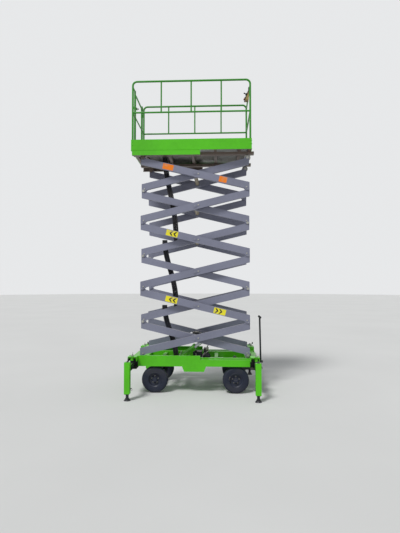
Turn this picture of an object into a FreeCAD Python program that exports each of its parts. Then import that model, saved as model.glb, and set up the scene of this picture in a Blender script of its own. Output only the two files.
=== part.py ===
import FreeCAD, Part
import math
import os

os.makedirs("parts", exist_ok=True)

# Towable scissor lift, in millimetres. X runs along the machine towards the tow bar, Z is up
# and -Y is the near side. The ground is z = 0 and the machine's middle plane is y = 0.

# scissor stack
LEVELS = 6
ARM_L = 1932.0          # end pin to end pin of one arm
RISE = 577.0            # height of one level in the modelled pose
PIN_X = -963.0          # the fixed pins, one above the other
TUBE_H = 120.0          # arm section
TUBE_W = 60.0
TUBE_T = 5.0
PIN_OFF = 65.0          # end pin's distance from the tube's centre line
OUTER_Y = 470.0         # middle planes of the outer and inner arms
INNER_Y = 380.0
PIN_R = 16.0
EYE_R = 30.0
EAR_T = 10.0
BOSS_W = 37.0
END_L = 170.0           # length of a welded arm end inside its tube
HEAD_R = 22.0
HEAD_T = 6.0
CROSS_R = 35.0          # cross tube of an inner pair
SHAFT_R = 20.0          # centre shaft that runs through it
HUB_R = 42.0
FIT = 0.05              # radial running clearance of a pin
ROLLER_R = 54.5
ROLLER_GAP = 0.5        # between a roller and its track
SEAT_GAP = 0.3          # between pieces that lie or slide against each other

# running gear
WHEEL_R = 226.0
WHEEL_W = 137.0
WHEEL_Y = 481.5
RIM_R = 118.0
AXLE_R = 22.0
AXLE_SQ = 60.0
REAR_X = -729.0
FRONT_IN = 241.0        # front axle, back from the side channels' front ends
TYRE_GAP = 10.0         # between a tyre and the chassis above it
KING_R = 25.0
TURN_R = 190.0
TURN_T = 10.0

# chassis
SIDE_Y = 575.0          # outer face of the side channels
SIDE_X0 = -1013.0
SIDE_SHORT = 61.62      # the side channels stop this far short of the folded rollers' pins
STEP_X = 54.0          # the side channels are lower from here on
STEP_H = 63.0
BEAM_H = 115.0
BEAM_Y0 = 335.0         # inner longitudinal beams, the bottom rollers' tracks
BEAM_Y1 = 425.0
PLATE_T = 6.0
FLANGE_W = 52.0
SKIRT_X0 = -255.0       # dropped middle of the side plates
SKIRT_X1 = 156.0
SKIRT_H = 89.0

# outriggers
LEG_REAR_X = -1098.0
LEG_OUT = 99.0          # front legs, out from the side channels' ends
END_W = 150.0           # end beams along X
HINGE_Y = 665.0
LEG_Y = 1030.0
HINGE_R = 18.0
SWING_Z0 = 455.0
SWING_H = 95.0
SWING_W = 76.0
SLEEVE_W = 90.0
SLEEVE_Z0 = 110.0
SLEEVE_Z1 = 612.0
JACK_W = 74.0
STEM_R = 24.0
FOOT_R = 56.0
FOOT_H = 22.0

# tow bar
DRAW_OUT = 234.0        # the bar's hinge, out from the side channels' ends
DRAW_Z = 340.0
DRAW_L = 922.0
DRAW_LEAN = 18.0
DRAW_PIN_R = 10.0
HANDLE_Y = 150.0
GRIP_L = 90.0
SADDLE_Y = 90.0         # inner faces of the plates between axle and turntable
SADDLE_T = 12.0

# lift cylinders: lower pin from the lowest scissor pin, rod pin from the first centre
CYL_FOOT = (583.3, -158.7)
CYL_HEAD = (179.5, -49.4)
CYL_Y = 150.0
CYL_PIN_R = 15.0
BARREL_R = 40.0
BARREL_L = 400.0
ROD_R = 22.0
ROD_IN = 65.0           # rod's inner end from the bore's bottom, over what the lowest pose takes up
LUG_Y = 34.0            # lug's middle from the cylinder's axis
LUG_T = 12.0

# platform
PLAT_L = 2100.0
PLAT_W = 1150.0
PLAT_BACK = 190.0       # from the fixed pins back to the platform's rear edge
TRACK_H = 47.0
JOIST_H = 60.0
JOIST_W = 50.0
JOIST_GAP = 0.5         # between the end joists and the toe boards
DECK_T = 4.0
TOE_H = 190.0
TOE_T = 6.0
BAND_H = 85.0
RAIL_H = 1161.0         # top rail's axis over the deck
MID_H = 610.0
RAIL_R = 17.0
RAIL_BEND = 75.0
STILE_R = 14.0
GATE_Y = 340.0          # gate posts
LATCH_Y = -360.0

# hose packs: two hoses each, between clamps on the near side's inboard faces
HOSE_R = 17.0
HOSE_PITCH = 38.0
HOSE_Y = -312.0
HOSE_TOP = 377.0        # upper clamps, from the fixed pins
HOSE_FOOT = 574.0       # lower clamps
CLAMP_TOP_UP = 251.0    # clamps' faces over the lower fixed pin of their level
CLAMP_FOOT_UP = 349.0
CLAMP_L = 84.0
CLAMP_H = 34.0
LUG_L = 60.0
LUG_H = 70.0
ARM_GAP = 7.0           # from an arm's inboard face to what passes beside it

# control box
BOX_W = 130.0
BOX_D = 80.0
BOX_H = 160.0

# worked out from the above
THETA = math.asin(RISE / ARM_L)
SPAN = ARM_L * math.cos(THETA)
FREE_X = PIN_X + SPAN                               # the rollers' pins
MID_X = PIN_X + SPAN / 2
HALF = math.sqrt((ARM_L / 2) ** 2 - PIN_OFF**2)     # end pin's station along its tube
TILT = math.degrees(THETA - math.atan2(PIN_OFF, HALF))
FOLD_X = PIN_X + math.sqrt(ARM_L**2 - (2 * PIN_OFF) ** 2)   # roller pin with the arms flat
SIDE_X1 = FOLD_X - SIDE_SHORT
FRONT_X = SIDE_X1 - FRONT_IN
LEG_FRONT_X = SIDE_X1 + LEG_OUT
END_REAR_X = SIDE_X0 - END_W
END_FRONT_X = SIDE_X1 + END_W
DRAW_X = SIDE_X1 + DRAW_OUT
BASE_Z = 2 * WHEEL_R + TYRE_GAP
STEP_Z = BASE_Z + BEAM_H
SIDE_Z = STEP_Z + STEP_H
PIN_Z = STEP_Z + ROLLER_R + ROLLER_GAP
TOP_Z = PIN_Z + LEVELS * RISE
TRACK_Z = TOP_Z + ROLLER_R + ROLLER_GAP
JOIST_Z = TRACK_Z + TRACK_H
DECK_Z = JOIST_Z + JOIST_H + DECK_T
RAIL_Z = DECK_Z + RAIL_H
MID_Z = DECK_Z + MID_H
END_RAIL_Z = RAIL_Z - RAIL_BEND - 20
PLAT_X0 = PIN_X - PLAT_BACK
PLAT_X1 = PLAT_X0 + PLAT_L
PLAT_Y = PLAT_W / 2
RAIL_IN = TOE_T + RAIL_R + SEAT_GAP                 # rails' axes from the platform's edges
RAIL_X0 = PLAT_X0 + RAIL_IN
RAIL_X1 = PLAT_X1 - RAIL_IN
RAIL_Y = PLAT_Y - RAIL_IN
CHASSIS_CLAMP_Z = BASE_Z + 52
FOOT = (PIN_X + CYL_FOOT[0], PIN_Z + CYL_FOOT[1])
HEAD = (MID_X + CYL_HEAD[0], PIN_Z + RISE / 2 + CYL_HEAD[1])

V = FreeCAD.Vector
X = V(1, 0, 0)
Y = V(0, 1, 0)
Z = V(0, 0, 1)
ORIGIN = V(0, 0, 0)


def box(x0, x1, y0, y1, z0, z1):
    """A block between two values on each axis, given in either order."""
    x0, x1 = sorted((x0, x1))
    y0, y1 = sorted((y0, y1))
    return Part.makeBox(x1 - x0, y1 - y0, z1 - z0, V(x0, y0, z0))


def square_tube(x0, x1, y0, y1, z0, z1, wall, along):
    """A hollow section, open at both ends of its long axis."""
    cut = {"x": (-1, wall, wall), "y": (wall, -1, wall), "z": (wall, wall, -1)}[along]
    y0, y1 = sorted((y0, y1))
    hole = box(x0 + cut[0], x1 - cut[0], y0 + cut[1], y1 - cut[1], z0 + cut[2], z1 - cut[2])
    return box(x0, x1, y0, y1, z0, z1).cut(hole)


def plate_xz(points, y0, y1):
    """An outline in the X-Z plane, given thickness along Y."""
    y0, y1 = sorted((y0, y1))
    loop = [V(x, y0, z) for x, z in points]
    return Part.Face(Part.makePolygon(loop + loop[:1])).extrude(V(0, y1 - y0, 0))


def plate_xy(points, z0, z1):
    loop = [V(x, y, z0) for x, y in points]
    return Part.Face(Part.makePolygon(loop + loop[:1])).extrude(V(0, 0, z1 - z0))


def disc(x, z, r, y0, y1):
    """A round bar along Y."""
    y0, y1 = sorted((y0, y1))
    return Part.makeCylinder(r, y1 - y0, V(x, y0, z), Y)


def post(x, y, r, z0, z1):
    return Part.makeCylinder(r, z1 - z0, V(x, y, z0), Z)


def rod(a, b, r):
    a, b = V(*a), V(*b)
    return Part.makeCylinder(r, (b - a).Length, a, b - a)


def fuse(shapes):
    out = shapes[0].multiFuse(shapes[1:]) if len(shapes) > 1 else shapes[0]
    return out.removeSplitter()


def export(name, shapes):
    shapes = shapes if isinstance(shapes, list) else [shapes]
    solids = [solid for shape in shapes for solid in shape.Solids]
    Part.makeCompound(solids).exportStep("parts/" + name + ".step")


def tangent(centre, r, point, turn):
    """Where a line from a point touches a circle; turn is +1 or -1 for the side."""
    dx, dz = point[0] - centre[0], point[1] - centre[1]
    angle = math.atan2(dz, dx) + turn * math.acos(r / math.hypot(dx, dz))
    return (centre[0] + r * math.cos(angle), centre[1] + r * math.sin(angle))


# scissor arms, each made flat with its centre at the origin and its lower end at -x

def arm_end(sign, y0, y1):
    """A welded end plate: the tube's section run out into a round eye beyond its edge."""
    h = TUBE_H / 2
    eye = (HALF, PIN_OFF)
    toe, heel = (HALF, -h), (HALF - 2.5 * EYE_R, h)
    points = [toe, (HALF - END_L, -h), (HALF - END_L, h), heel,
              tangent(eye, EYE_R, heel, -1), eye, tangent(eye, EYE_R, toe, 1)]
    outline = [(sign * x, sign * z) for x, z in points]
    plate = plate_xz(outline, y0, y1).fuse(disc(sign * HALF, sign * PIN_OFF, EYE_R, y0, y1))
    return plate.cut(disc(sign * HALF, sign * PIN_OFF, PIN_R + FIT, y0 - 1, y1 + 1))


def fork_end(sign, y):
    """Two ears that close over the next arm's tongue, and the plate that shuts the tube."""
    w = TUBE_W / 2
    ears = [arm_end(sign, y - w, y - w + EAR_T), arm_end(sign, y + w - EAR_T, y + w)]
    x = sign * (HALF - ROLLER_R - 10)
    h = TUBE_H / 2 - 1
    ears.append(box(x, x - sign * PLATE_T, y - w + 1, y + w - 1, -h, h))
    return ears


def arm(y, top_fork=False):
    """A box-section arm: a fork at its lower end, a tongue or a fork at its upper end."""
    h, w, t = TUBE_H / 2, TUBE_W / 2, TUBE_T
    back = ROLLER_R + 10
    x0, x1 = -HALF + back, HALF - (back if top_fork else 0)
    tube = square_tube(x0, x1, y - w, y + w, -h, h, t, "x")
    pieces = [tube] + fork_end(-1, y)
    if top_fork:
        pieces += fork_end(1, y)
        return fuse(pieces)
    # the next arm's ears close over the tongue here
    notch = [(HALF - 2.7 * EYE_R, h + 1), (HALF - 2.7 * EYE_R, h - 3), (HALF - EYE_R, PIN_OFF - EYE_R - 4),
             (HALF + 1, PIN_OFF - EYE_R - 4), (HALF + 1, h + 1)]
    pieces[0] = tube.cut(plate_xz(notch, y - w - 1, y + w + 1))
    pieces.append(arm_end(1, y - BOSS_W / 2, y + BOSS_W / 2))
    return fuse(pieces)


def end_pin(sign, y):
    """The headed pin through one fork."""
    x, z, w = sign * HALF, sign * PIN_OFF, TUBE_W / 2
    return fuse([disc(x, z, PIN_R, y - w - 1, y + w + 1), disc(x, z, HEAD_R, y - w - HEAD_T, y - w),
                 disc(x, z, HEAD_R, y + w, y + w + HEAD_T)])


def outer_pair():
    hub_w = TUBE_W / 2 + 2
    arms, pins = [], []
    for side in (-1, 1):
        y = side * OUTER_Y
        one = arm(y).fuse(disc(0, 0, HUB_R, y - hub_w, y + hub_w))
        arms.append(one.cut(disc(0, 0, SHAFT_R + FIT, y - hub_w - 1, y + hub_w + 1)))
        pins.append(end_pin(-1, y))
    # the centre shaft, with heads outside and thrust collars towards the inner pair
    tip, seat = OUTER_Y + hub_w, OUTER_Y - hub_w
    shaft = [disc(0, 0, SHAFT_R, -tip, tip)]
    for side in (-1, 1):
        shaft.append(disc(0, 0, SHAFT_R + 8, side * tip, side * (tip + HEAD_T)))
        shaft.append(disc(0, 0, SHAFT_R + 8, side * (cross_end() + ROLLER_GAP), side * seat))
    return arms, pins + [fuse(shaft)]


def cross_end():
    """Where an inner pair's cross tube ends, outside its arms."""
    return INNER_Y + TUBE_W / 2 + 12


def inner_pair(level):
    last = level == LEVELS
    tip = cross_end()
    pieces = [arm(side * INNER_Y, top_fork=last) for side in (-1, 1)]
    pieces.append(disc(0, 0, CROSS_R, -tip, tip))
    frame = fuse(pieces).cut(disc(0, 0, SHAFT_R + FIT, -tip - 1, tip + 1))
    pins = [end_pin(-1, side * INNER_Y) for side in (-1, 1)]
    if last:
        pins += [end_pin(1, side * INNER_Y) for side in (-1, 1)]
    return frame, pins


def pose(shape, level, rises_right):
    """Turn a flat arm into the modelled pose at its level."""
    turned = shape.copy()
    turned.rotate(ORIGIN, V(0, -1, 0), TILT)
    if not rises_right:
        turned = turned.mirror(ORIGIN, X)
    turned.translate(V(MID_X, 0, PIN_Z + (level - 0.5) * RISE))
    return turned


def rod_lugs():
    """Lug plates on the first cross tube that hold the lift cylinders' rod pins."""
    centre = (MID_X, PIN_Z + RISE / 2)
    length = math.hypot(*CYL_HEAD)
    ux, uz = CYL_HEAD[0] / length, CYL_HEAD[1] / length
    root = CROSS_R - 2
    start = [(centre[0] + uz * s * root, centre[1] - ux * s * root) for s in (1, -1)]
    ends = [tangent(HEAD, ROD_R + 12, start[1], -1), HEAD, tangent(HEAD, ROD_R + 12, start[0], 1)]
    lugs = []
    for side in (-1, 1):
        for face in (-1, 1):
            y = side * CYL_Y + face * LUG_Y
            y0, y1 = y - LUG_T / 2, y + LUG_T / 2
            lug = plate_xz(start + ends, y0, y1).fuse(disc(HEAD[0], HEAD[1], ROD_R + 12, y0, y1))
            lug = lug.fuse(disc(HEAD[0], HEAD[1], ROD_R, y, y + face * (LUG_T / 2 + 8)))
            lugs.append(lug.cut(disc(centre[0], centre[1], CROSS_R - 4, y0 - 9, y1 + 9)))
    return lugs


def scissor():
    for level in range(1, LEVELS + 1):
        odd = level % 2 == 1
        arms, pins = outer_pair()
        export("arm_outer_%d" % level, [pose(a, level, odd) for a in arms])
        export("pins_outer_%d" % level, [pose(p, level, odd) for p in pins])
        frame, pins = inner_pair(level)
        frame = pose(frame, level, not odd)
        if level == 1:
            frame = fuse([frame] + rod_lugs())
        if level in (2, 4):
            frame = fuse([frame] + hose_lugs(level))
        export("arm_inner_%d" % level, [frame])
        export("pins_inner_%d" % level, [pose(p, level, not odd) for p in pins])


def roller_pair(z):
    wheels = []
    half = BOSS_W / 2
    for side in (-1, 1):
        y = side * INNER_Y
        tread = disc(FREE_X, z, ROLLER_R, y - half + 3, y + half - 3)
        wheel = tread.fuse(disc(FREE_X, z, HEAD_R + 4, y - half, y + half))
        wheels.append(wheel.cut(disc(FREE_X, z, PIN_R + FIT, y - half - 1, y + half + 1)))
    return wheels


# lift cylinders

def cylinders():
    reach = math.hypot(HEAD[0] - FOOT[0], HEAD[1] - FOOT[1])
    ux, uz = (HEAD[0] - FOOT[0]) / reach, (HEAD[1] - FOOT[1]) / reach
    barrels, rods = [], []
    for side in (-1, 1):
        y = side * CYL_Y

        def at(s):
            return (FOOT[0] + ux * s, y, FOOT[1] + uz * s)
        neck = 1.5 * BARREL_R
        barrel = fuse([rod(at(neck), at(BARREL_L), BARREL_R),
                       rod(at(BARREL_L - 45), at(BARREL_L), BARREL_R + 4),
                       rod(at(0), at(neck + 5), 0.45 * BARREL_R),
                       disc(FOOT[0], FOOT[1], CYL_PIN_R + 12, y - 20, y + 20)])
        barrel = barrel.cut(disc(FOOT[0], FOOT[1], CYL_PIN_R + FIT, y - 60, y + 60))
        barrels.append(barrel.cut(rod(at(neck + 10), at(BARREL_L + 1), ROD_R + FIT)))
        rods.append(fuse([rod(at(neck + 10 + ROD_IN), at(reach), ROD_R),
                          disc(HEAD[0], HEAD[1], ROD_R + 6, y - LUG_Y + 10, y + LUG_Y - 10)]))
    return barrels, rods


# chassis

def side_channel(side):
    """The pressed side plate: high over the fixed pins, low along the rollers' half."""
    outer, inner = side * SIDE_Y, side * (SIDE_Y - FLANGE_W)
    chamfer = 0.4 * SKIRT_H
    web = [(SIDE_X0, BASE_Z), (SKIRT_X0, BASE_Z), (SKIRT_X0 + chamfer, BASE_Z - SKIRT_H),
           (SKIRT_X1 - chamfer, BASE_Z - SKIRT_H), (SKIRT_X1, BASE_Z), (SIDE_X1, BASE_Z),
           (SIDE_X1, STEP_Z), (STEP_X, STEP_Z), (STEP_X, SIDE_Z), (SIDE_X0, SIDE_Z)]
    t = PLATE_T
    return [plate_xz(web, outer, outer - side * t),
            box(SIDE_X0, STEP_X, outer, inner, SIDE_Z - t, SIDE_Z),
            box(STEP_X - t, SIDE_X1, outer, inner, STEP_Z - t, STEP_Z),
            box(STEP_X - t, STEP_X, outer, inner, STEP_Z - t, SIDE_Z),
            box(SIDE_X0, SIDE_X1, outer, inner, BASE_Z, BASE_Z + t)]


def inner_beam(side):
    """A hollow beam under each inner arm: its top is the bottom roller's track."""
    return square_tube(END_REAR_X + 20, FOLD_X + ROLLER_R + 8, side * BEAM_Y0, side * BEAM_Y1,
                       BASE_Z, STEP_Z, PLATE_T, "x")


def pin_lug(side):
    """The tongue on the rear cross member that the lowest outer arm's fork closes over."""
    y0, y1 = side * OUTER_Y - BOSS_W / 2, side * OUTER_Y + BOSS_W / 2
    eye = (PIN_X, PIN_Z)
    left, right = (PIN_X - 34, BASE_Z + 30), (PIN_X + 60, BASE_Z + 30)
    lug = plate_xz([left, right, tangent(eye, EYE_R, right, 1), eye, tangent(eye, EYE_R, left, -1)], y0, y1)
    lug = lug.fuse(disc(PIN_X, PIN_Z, EYE_R, y0, y1))
    return lug.cut(disc(PIN_X, PIN_Z, PIN_R + FIT, y0 - 1, y1 + 1))


def cylinder_tray():
    """Lugs and pins of the cylinders' lower ends, hung low between the inner beams."""
    x, z = FOOT
    floor = z - BARREL_R - 9
    t = PLATE_T
    pieces = [box(x - 60, x + 60, -BEAM_Y0 - 1, BEAM_Y0 + 1, floor, floor + t)]
    for side in (-1, 1):
        pieces.append(box(x - 60, x + 60, side * (BEAM_Y0 - t), side * (BEAM_Y0 + 1), floor, STEP_Z - 10))
        for face in (-1, 1):
            y = side * CYL_Y + face * LUG_Y
            lug = [(x - 34, floor + 1), (x + 34, floor + 1), (x + 26, z + 16), (x + 12, z + 28),
                   (x - 12, z + 28), (x - 26, z + 16)]
            pieces.append(plate_xz(lug, y - LUG_T / 2, y + LUG_T / 2))
        tip = LUG_Y + LUG_T / 2 + 6
        pieces.append(disc(x, z, CYL_PIN_R, side * CYL_Y - tip, side * CYL_Y + tip))
    return pieces


def turntable_top():
    """The upper plate over the steered axle, bored for its kingpin."""
    wide = TURN_R + 15
    return [post(FRONT_X, 0, TURN_R, BASE_Z - TURN_T + 1, BASE_Z + 1),
            box(FRONT_X - wide, FRONT_X + wide, -BEAM_Y1, BEAM_Y1, BASE_Z, BASE_Z + PLATE_T),
            post(FRONT_X, 0, KING_R + 20, BASE_Z, BASE_Z + 60)]


def chassis_frame():
    body = cylinder_tray() + turntable_top()
    for side in (-1, 1):
        body += side_channel(side) + [inner_beam(side), pin_lug(side)]
        # one of the two bars that carry the power unit
        body.append(box(FOOT[0] - 60, FRONT_X - 300, side * 60, side * 66, FOOT[1] - BARREL_R - 4, BASE_Z))
    # cross members: from x, to x
    for x0, x1 in ((PIN_X - 40, PIN_X + 60), (REAR_X + 66, REAR_X + 126),
                   (FRONT_X - 365, FRONT_X - 305), (SIDE_X1 - 66, SIDE_X1 - 6)):
        body.append(square_tube(x0, x1, -SIDE_Y + 3, SIDE_Y - 3, BASE_Z, STEP_Z - 17, PLATE_T, "y"))
    body.append(hose_clamp(PIN_X + HOSE_FOOT + 12, -BEAM_Y0, CHASSIS_CLAMP_Z - CLAMP_H))
    return fuse(body).cut(post(FRONT_X, 0, KING_R + FIT, BASE_Z - 30, BASE_Z + 61))


def end_beam(x0, x1, hinge_x):
    """A cross box with an open housing at each end that holds an outrigger's hinge pin."""
    t = 8
    low, high = SWING_Z0 - 15, SIDE_Z
    house, tip = SIDE_Y - 60, HINGE_Y + 45
    pieces = [square_tube(x0, x1, -house, house, BASE_Z, STEP_Z, t, "y")]
    for side in (-1, 1):
        y0, y1 = side * house, side * tip
        pieces.append(box(x0, x1, side * (house - t), y0, low, high))
        pieces.append(box(x0, x1, y0, y1, high - t, high))
        pieces.append(box(x0, x1, y0, y1, low, low + t))
        skirt = SWING_Z0 + SWING_H + 6
        pieces.append(box(x0, x0 + t, y0, y1, skirt, high))
        pieces.append(box(x1 - t, x1, y0, y1, skirt, high))
        y = side * HINGE_Y
        pieces.append(post(hinge_x, y, HINGE_R, low - 10, high + 1))
        pieces.append(post(hinge_x, y, HINGE_R + 8, high, high + 8))
        pieces.append(post(hinge_x, y, HINGE_R + 12, skirt, high - t + 1))
    beam = fuse(pieces)
    for side in (-1, 1):
        beam = beam.cut(box(x0 - 1, x1 + 1, side * BEAM_Y0, side * BEAM_Y1, BASE_Z, STEP_Z + 1))
    return beam


def outrigger(x, side):
    """A swing arm from the hinge to a square sleeve."""
    y, top = side * LEG_Y, SWING_Z0 + SWING_H
    w, s = SWING_W / 2, SLEEVE_W / 2
    hollow = JACK_W / 2 + SEAT_GAP
    pieces = [square_tube(x - w, x + w, side * HINGE_Y, side * (LEG_Y - s + 1), SWING_Z0, top, PLATE_T, "y"),
              post(x, side * HINGE_Y, w, SWING_Z0, top),
              box(x - s, x + s, y - s, y + s, SLEEVE_Z0, SLEEVE_Z1)]
    body = fuse(pieces).cut(post(x, side * HINGE_Y, HINGE_R + FIT, SWING_Z0 - 1, top + 1))
    return body.cut(box(x - hollow, x + hollow, y - hollow, y + hollow, SLEEVE_Z0 - 1, SLEEVE_Z1 - 8))


def jack(x, side):
    """The leg inside the sleeve, its stem and its round foot."""
    y, w = side * LEG_Y, JACK_W / 2
    foot = Part.makeCone(FOOT_R, 0.75 * FOOT_R, FOOT_H, V(x, y, 0))
    return fuse([box(x - w, x + w, y - w, y + w, SLEEVE_Z0 - 8, SLEEVE_Z1 - 1.5 * JACK_W),
                 post(x, y, STEM_R, FOOT_H - 4, SLEEVE_Z0),
                 post(x, y, STEM_R + 10, FOOT_H - 2, FOOT_H + 18), foot])


def axle_beam(x):
    """A square beam with a round spindle at each end."""
    h = AXLE_SQ / 2
    shoulder = WHEEL_Y - WHEEL_W / 2 - 12
    pieces = [box(x - h, x + h, -shoulder, shoulder, WHEEL_R - h, WHEEL_R + h)]
    for side in (-1, 1):
        pieces.append(disc(x, WHEEL_R, AXLE_R, side * (shoulder - 1), side * (WHEEL_Y + WHEEL_W / 2 - 10)))
    return pieces


def axle_rear():
    x, h = REAR_X, AXLE_SQ / 2
    pieces = axle_beam(x)
    hanger = [(x - h, WHEEL_R), (x + h, WHEEL_R), (x + 3 * h, BASE_Z), (x - 3 * h, BASE_Z)]
    for side in (-1, 1):
        pieces.append(plate_xz(hanger, side * (BEAM_Y0 + 10), side * (BEAM_Y0 + 22)))
    return fuse(pieces)


def axle_front():
    x, h = FRONT_X, AXLE_SQ / 2
    ring_top = BASE_Z - TURN_T
    pieces = axle_beam(x)
    pieces.append(post(x, 0, TURN_R, ring_top - TURN_T, ring_top))
    pieces.append(post(x, 0, KING_R, ring_top - 1, BASE_Z + 64))
    pieces.append(post(x, 0, KING_R + 10, BASE_Z + 61, BASE_Z + 69))
    saddle = [(x - h - 10, WHEEL_R), (x + h + 10, WHEEL_R), (x + 3 * h, ring_top - 1), (x - 3 * h, ring_top - 1)]
    for side in (-1, 1):
        pieces.append(plate_xz(saddle, side * SADDLE_Y, side * (SADDLE_Y + SADDLE_T)))
        # one leg of the tow bar's yoke
        yoke = [(x, side * (SADDLE_Y + 6)), (x, side * (SADDLE_Y + 42)),
                (DRAW_X - 34, side * 42), (DRAW_X + 22, side * 42),
                (DRAW_X + 22, side * 30), (DRAW_X - 34, side * 30)]
        pieces.append(plate_xy(yoke, DRAW_Z - 20, DRAW_Z + 20))
    pieces.append(disc(DRAW_X, DRAW_Z, DRAW_PIN_R, -50, 50))
    return fuse(pieces)


def tow_bar():
    """The bar with its cross handle, parked upright."""
    top = (DRAW_X - DRAW_LEAN, 0, DRAW_Z + DRAW_L)
    pieces = [rod((DRAW_X, 0, DRAW_Z), top, 16), disc(top[0], top[2], 13, -HANDLE_Y, HANDLE_Y),
              disc(DRAW_X, DRAW_Z, 26, -29, 29)]
    for side in (-1, 1):
        pieces.append(disc(top[0], top[2], 17, side * (HANDLE_Y - GRIP_L), side * HANDLE_Y))
    return fuse(pieces).cut(disc(DRAW_X, DRAW_Z, DRAW_PIN_R + FIT, -40, 40))


def revolve_y(points, x, y, z, out):
    """A section of (distance outwards, radius) pairs, turned about the wheel's axis."""
    loop = [V(x, y + out * a, z + r) for a, r in points]
    face = Part.Face(Part.makePolygon(loop + loop[:1]))
    return face.revolve(V(x, y, z), Y, 360)


def tyre(x, side):
    w, r = WHEEL_W / 2, WHEEL_R
    return revolve_y([(-w + 12, RIM_R), (-w + 2, RIM_R + 20), (-w, r - 60), (-w + 6, r - 22), (-w + 22, r - 3),
                      (-w + 40, r), (w - 40, r), (w - 22, r - 3), (w - 6, r - 22), (w, r - 60),
                      (w - 2, RIM_R + 20), (w - 12, RIM_R)], x, side * WHEEL_Y, WHEEL_R, side)


def rim(x, side):
    """A dished disc wheel with its hub and cap."""
    w, r = WHEEL_W / 2, RIM_R
    y = side * WHEEL_Y
    well = revolve_y([(-w + 14, r - 1), (w - 12, r - 1), (w - 8, r + 4), (w - 4, r), (w - 12, r - 12),
                      (20, r - 18), (12, 62), (22, 48), (22, AXLE_R + FIT), (-w + 4, AXLE_R + FIT),
                      (-w + 4, 44), (0, 50), (8, r - 24), (-w + 12, r - 12)], x, y, WHEEL_R, side)
    cap = disc(x, WHEEL_R, AXLE_R + 14, y + side * 20, y + side * (w - 8))
    return fuse([well, cap]).cut(disc(x, WHEEL_R, AXLE_R + FIT, y - side * 70, y + side * (w - 10)))


def power_unit():
    """Tank, motor and valve block on a tray between the lift cylinders."""
    z, x = BASE_Z + PLATE_T, FRONT_X - 365
    tray = box(x - 405, x, -66, 66, BASE_Z, z)
    tank_h = SIDE_Z - z - 4
    tank = box(x - 395, x - 235, -95, 95, z, z + tank_h)
    tank = tank.makeFillet(12, [e for e in tank.Edges if abs(e.Length - tank_h) < 1])
    motor = disc(x - 150, z + 72, 62, -92, 92).fuse(box(x - 190, x - 110, -80, 80, z, z + 40))
    block = box(x - 245, x - 190, -40, 40, z + 30, z + 100)
    cap = post(x - 345, -50, 22, z + tank_h - 1, z + tank_h + 12)
    return fuse([tray, tank, motor, block, cap])


# hose packs

def hose_clamp(x, wall, z):
    """A block that holds both hoses' ends, out from an inboard face at y = wall."""
    return box(x - CLAMP_L / 2, x + CLAMP_L / 2, wall - 1, HOSE_Y + HOSE_R + 3, z, z + CLAMP_H)


def hose_lugs(level):
    """On an inner arm: the clamp that the pack below hangs from and the one the next pack stands on."""
    wall = -INNER_Y + TUBE_W / 2
    low_pin = PIN_Z + (level - 1) * RISE
    shapes = []
    for run, up in ((HOSE_TOP, CLAMP_TOP_UP), (HOSE_FOOT, CLAMP_FOOT_UP - CLAMP_H)):
        x0, x1 = PIN_X + run - LUG_L / 2, PIN_X + run + LUG_L / 2
        root = low_pin + run * math.tan(THETA)
        # a pad on the arm's own tube, and a strap that rises clear of the arm below or above
        shapes.append(box(x0, x1, wall - 1, wall + ARM_GAP + 1, root, root + LUG_H))
        shapes.append(box(x0, x1, wall + ARM_GAP, wall + ARM_GAP + PLATE_T, root, low_pin + up + CLAMP_H))
        shapes.append(hose_clamp(PIN_X + run, wall + ARM_GAP, low_pin + up))
    return shapes


def hose_pack(foot, top):
    """Two hoses side by side between a pair of clamp faces, each given as (x, z)."""
    hoses = []
    for shift in (-HOSE_PITCH / 2, HOSE_PITCH / 2):
        circle = Part.makeCircle(HOSE_R, V(foot[0] + shift, HOSE_Y, foot[1]), Z)
        hoses.append(Part.Face(Part.Wire([circle])).extrude(V(top[0] - foot[0], 0, top[1] - foot[1])))
    return hoses


def hose_packs():
    run_foot, run_top = PIN_X + HOSE_FOOT, PIN_X + HOSE_TOP
    ends = [((run_foot + 12, CHASSIS_CLAMP_Z), (run_top, PIN_Z + RISE + CLAMP_TOP_UP))]
    ends.append(((run_foot, PIN_Z + RISE + CLAMP_FOOT_UP), (run_top, PIN_Z + 3 * RISE + CLAMP_TOP_UP)))
    ends.append(((run_foot, PIN_Z + 3 * RISE + CLAMP_FOOT_UP), (run_top, TRACK_Z)))
    for number, (foot, top) in enumerate(ends, 1):
        export("hoses_%d" % number, hose_pack(foot, top))


# platform

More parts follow.
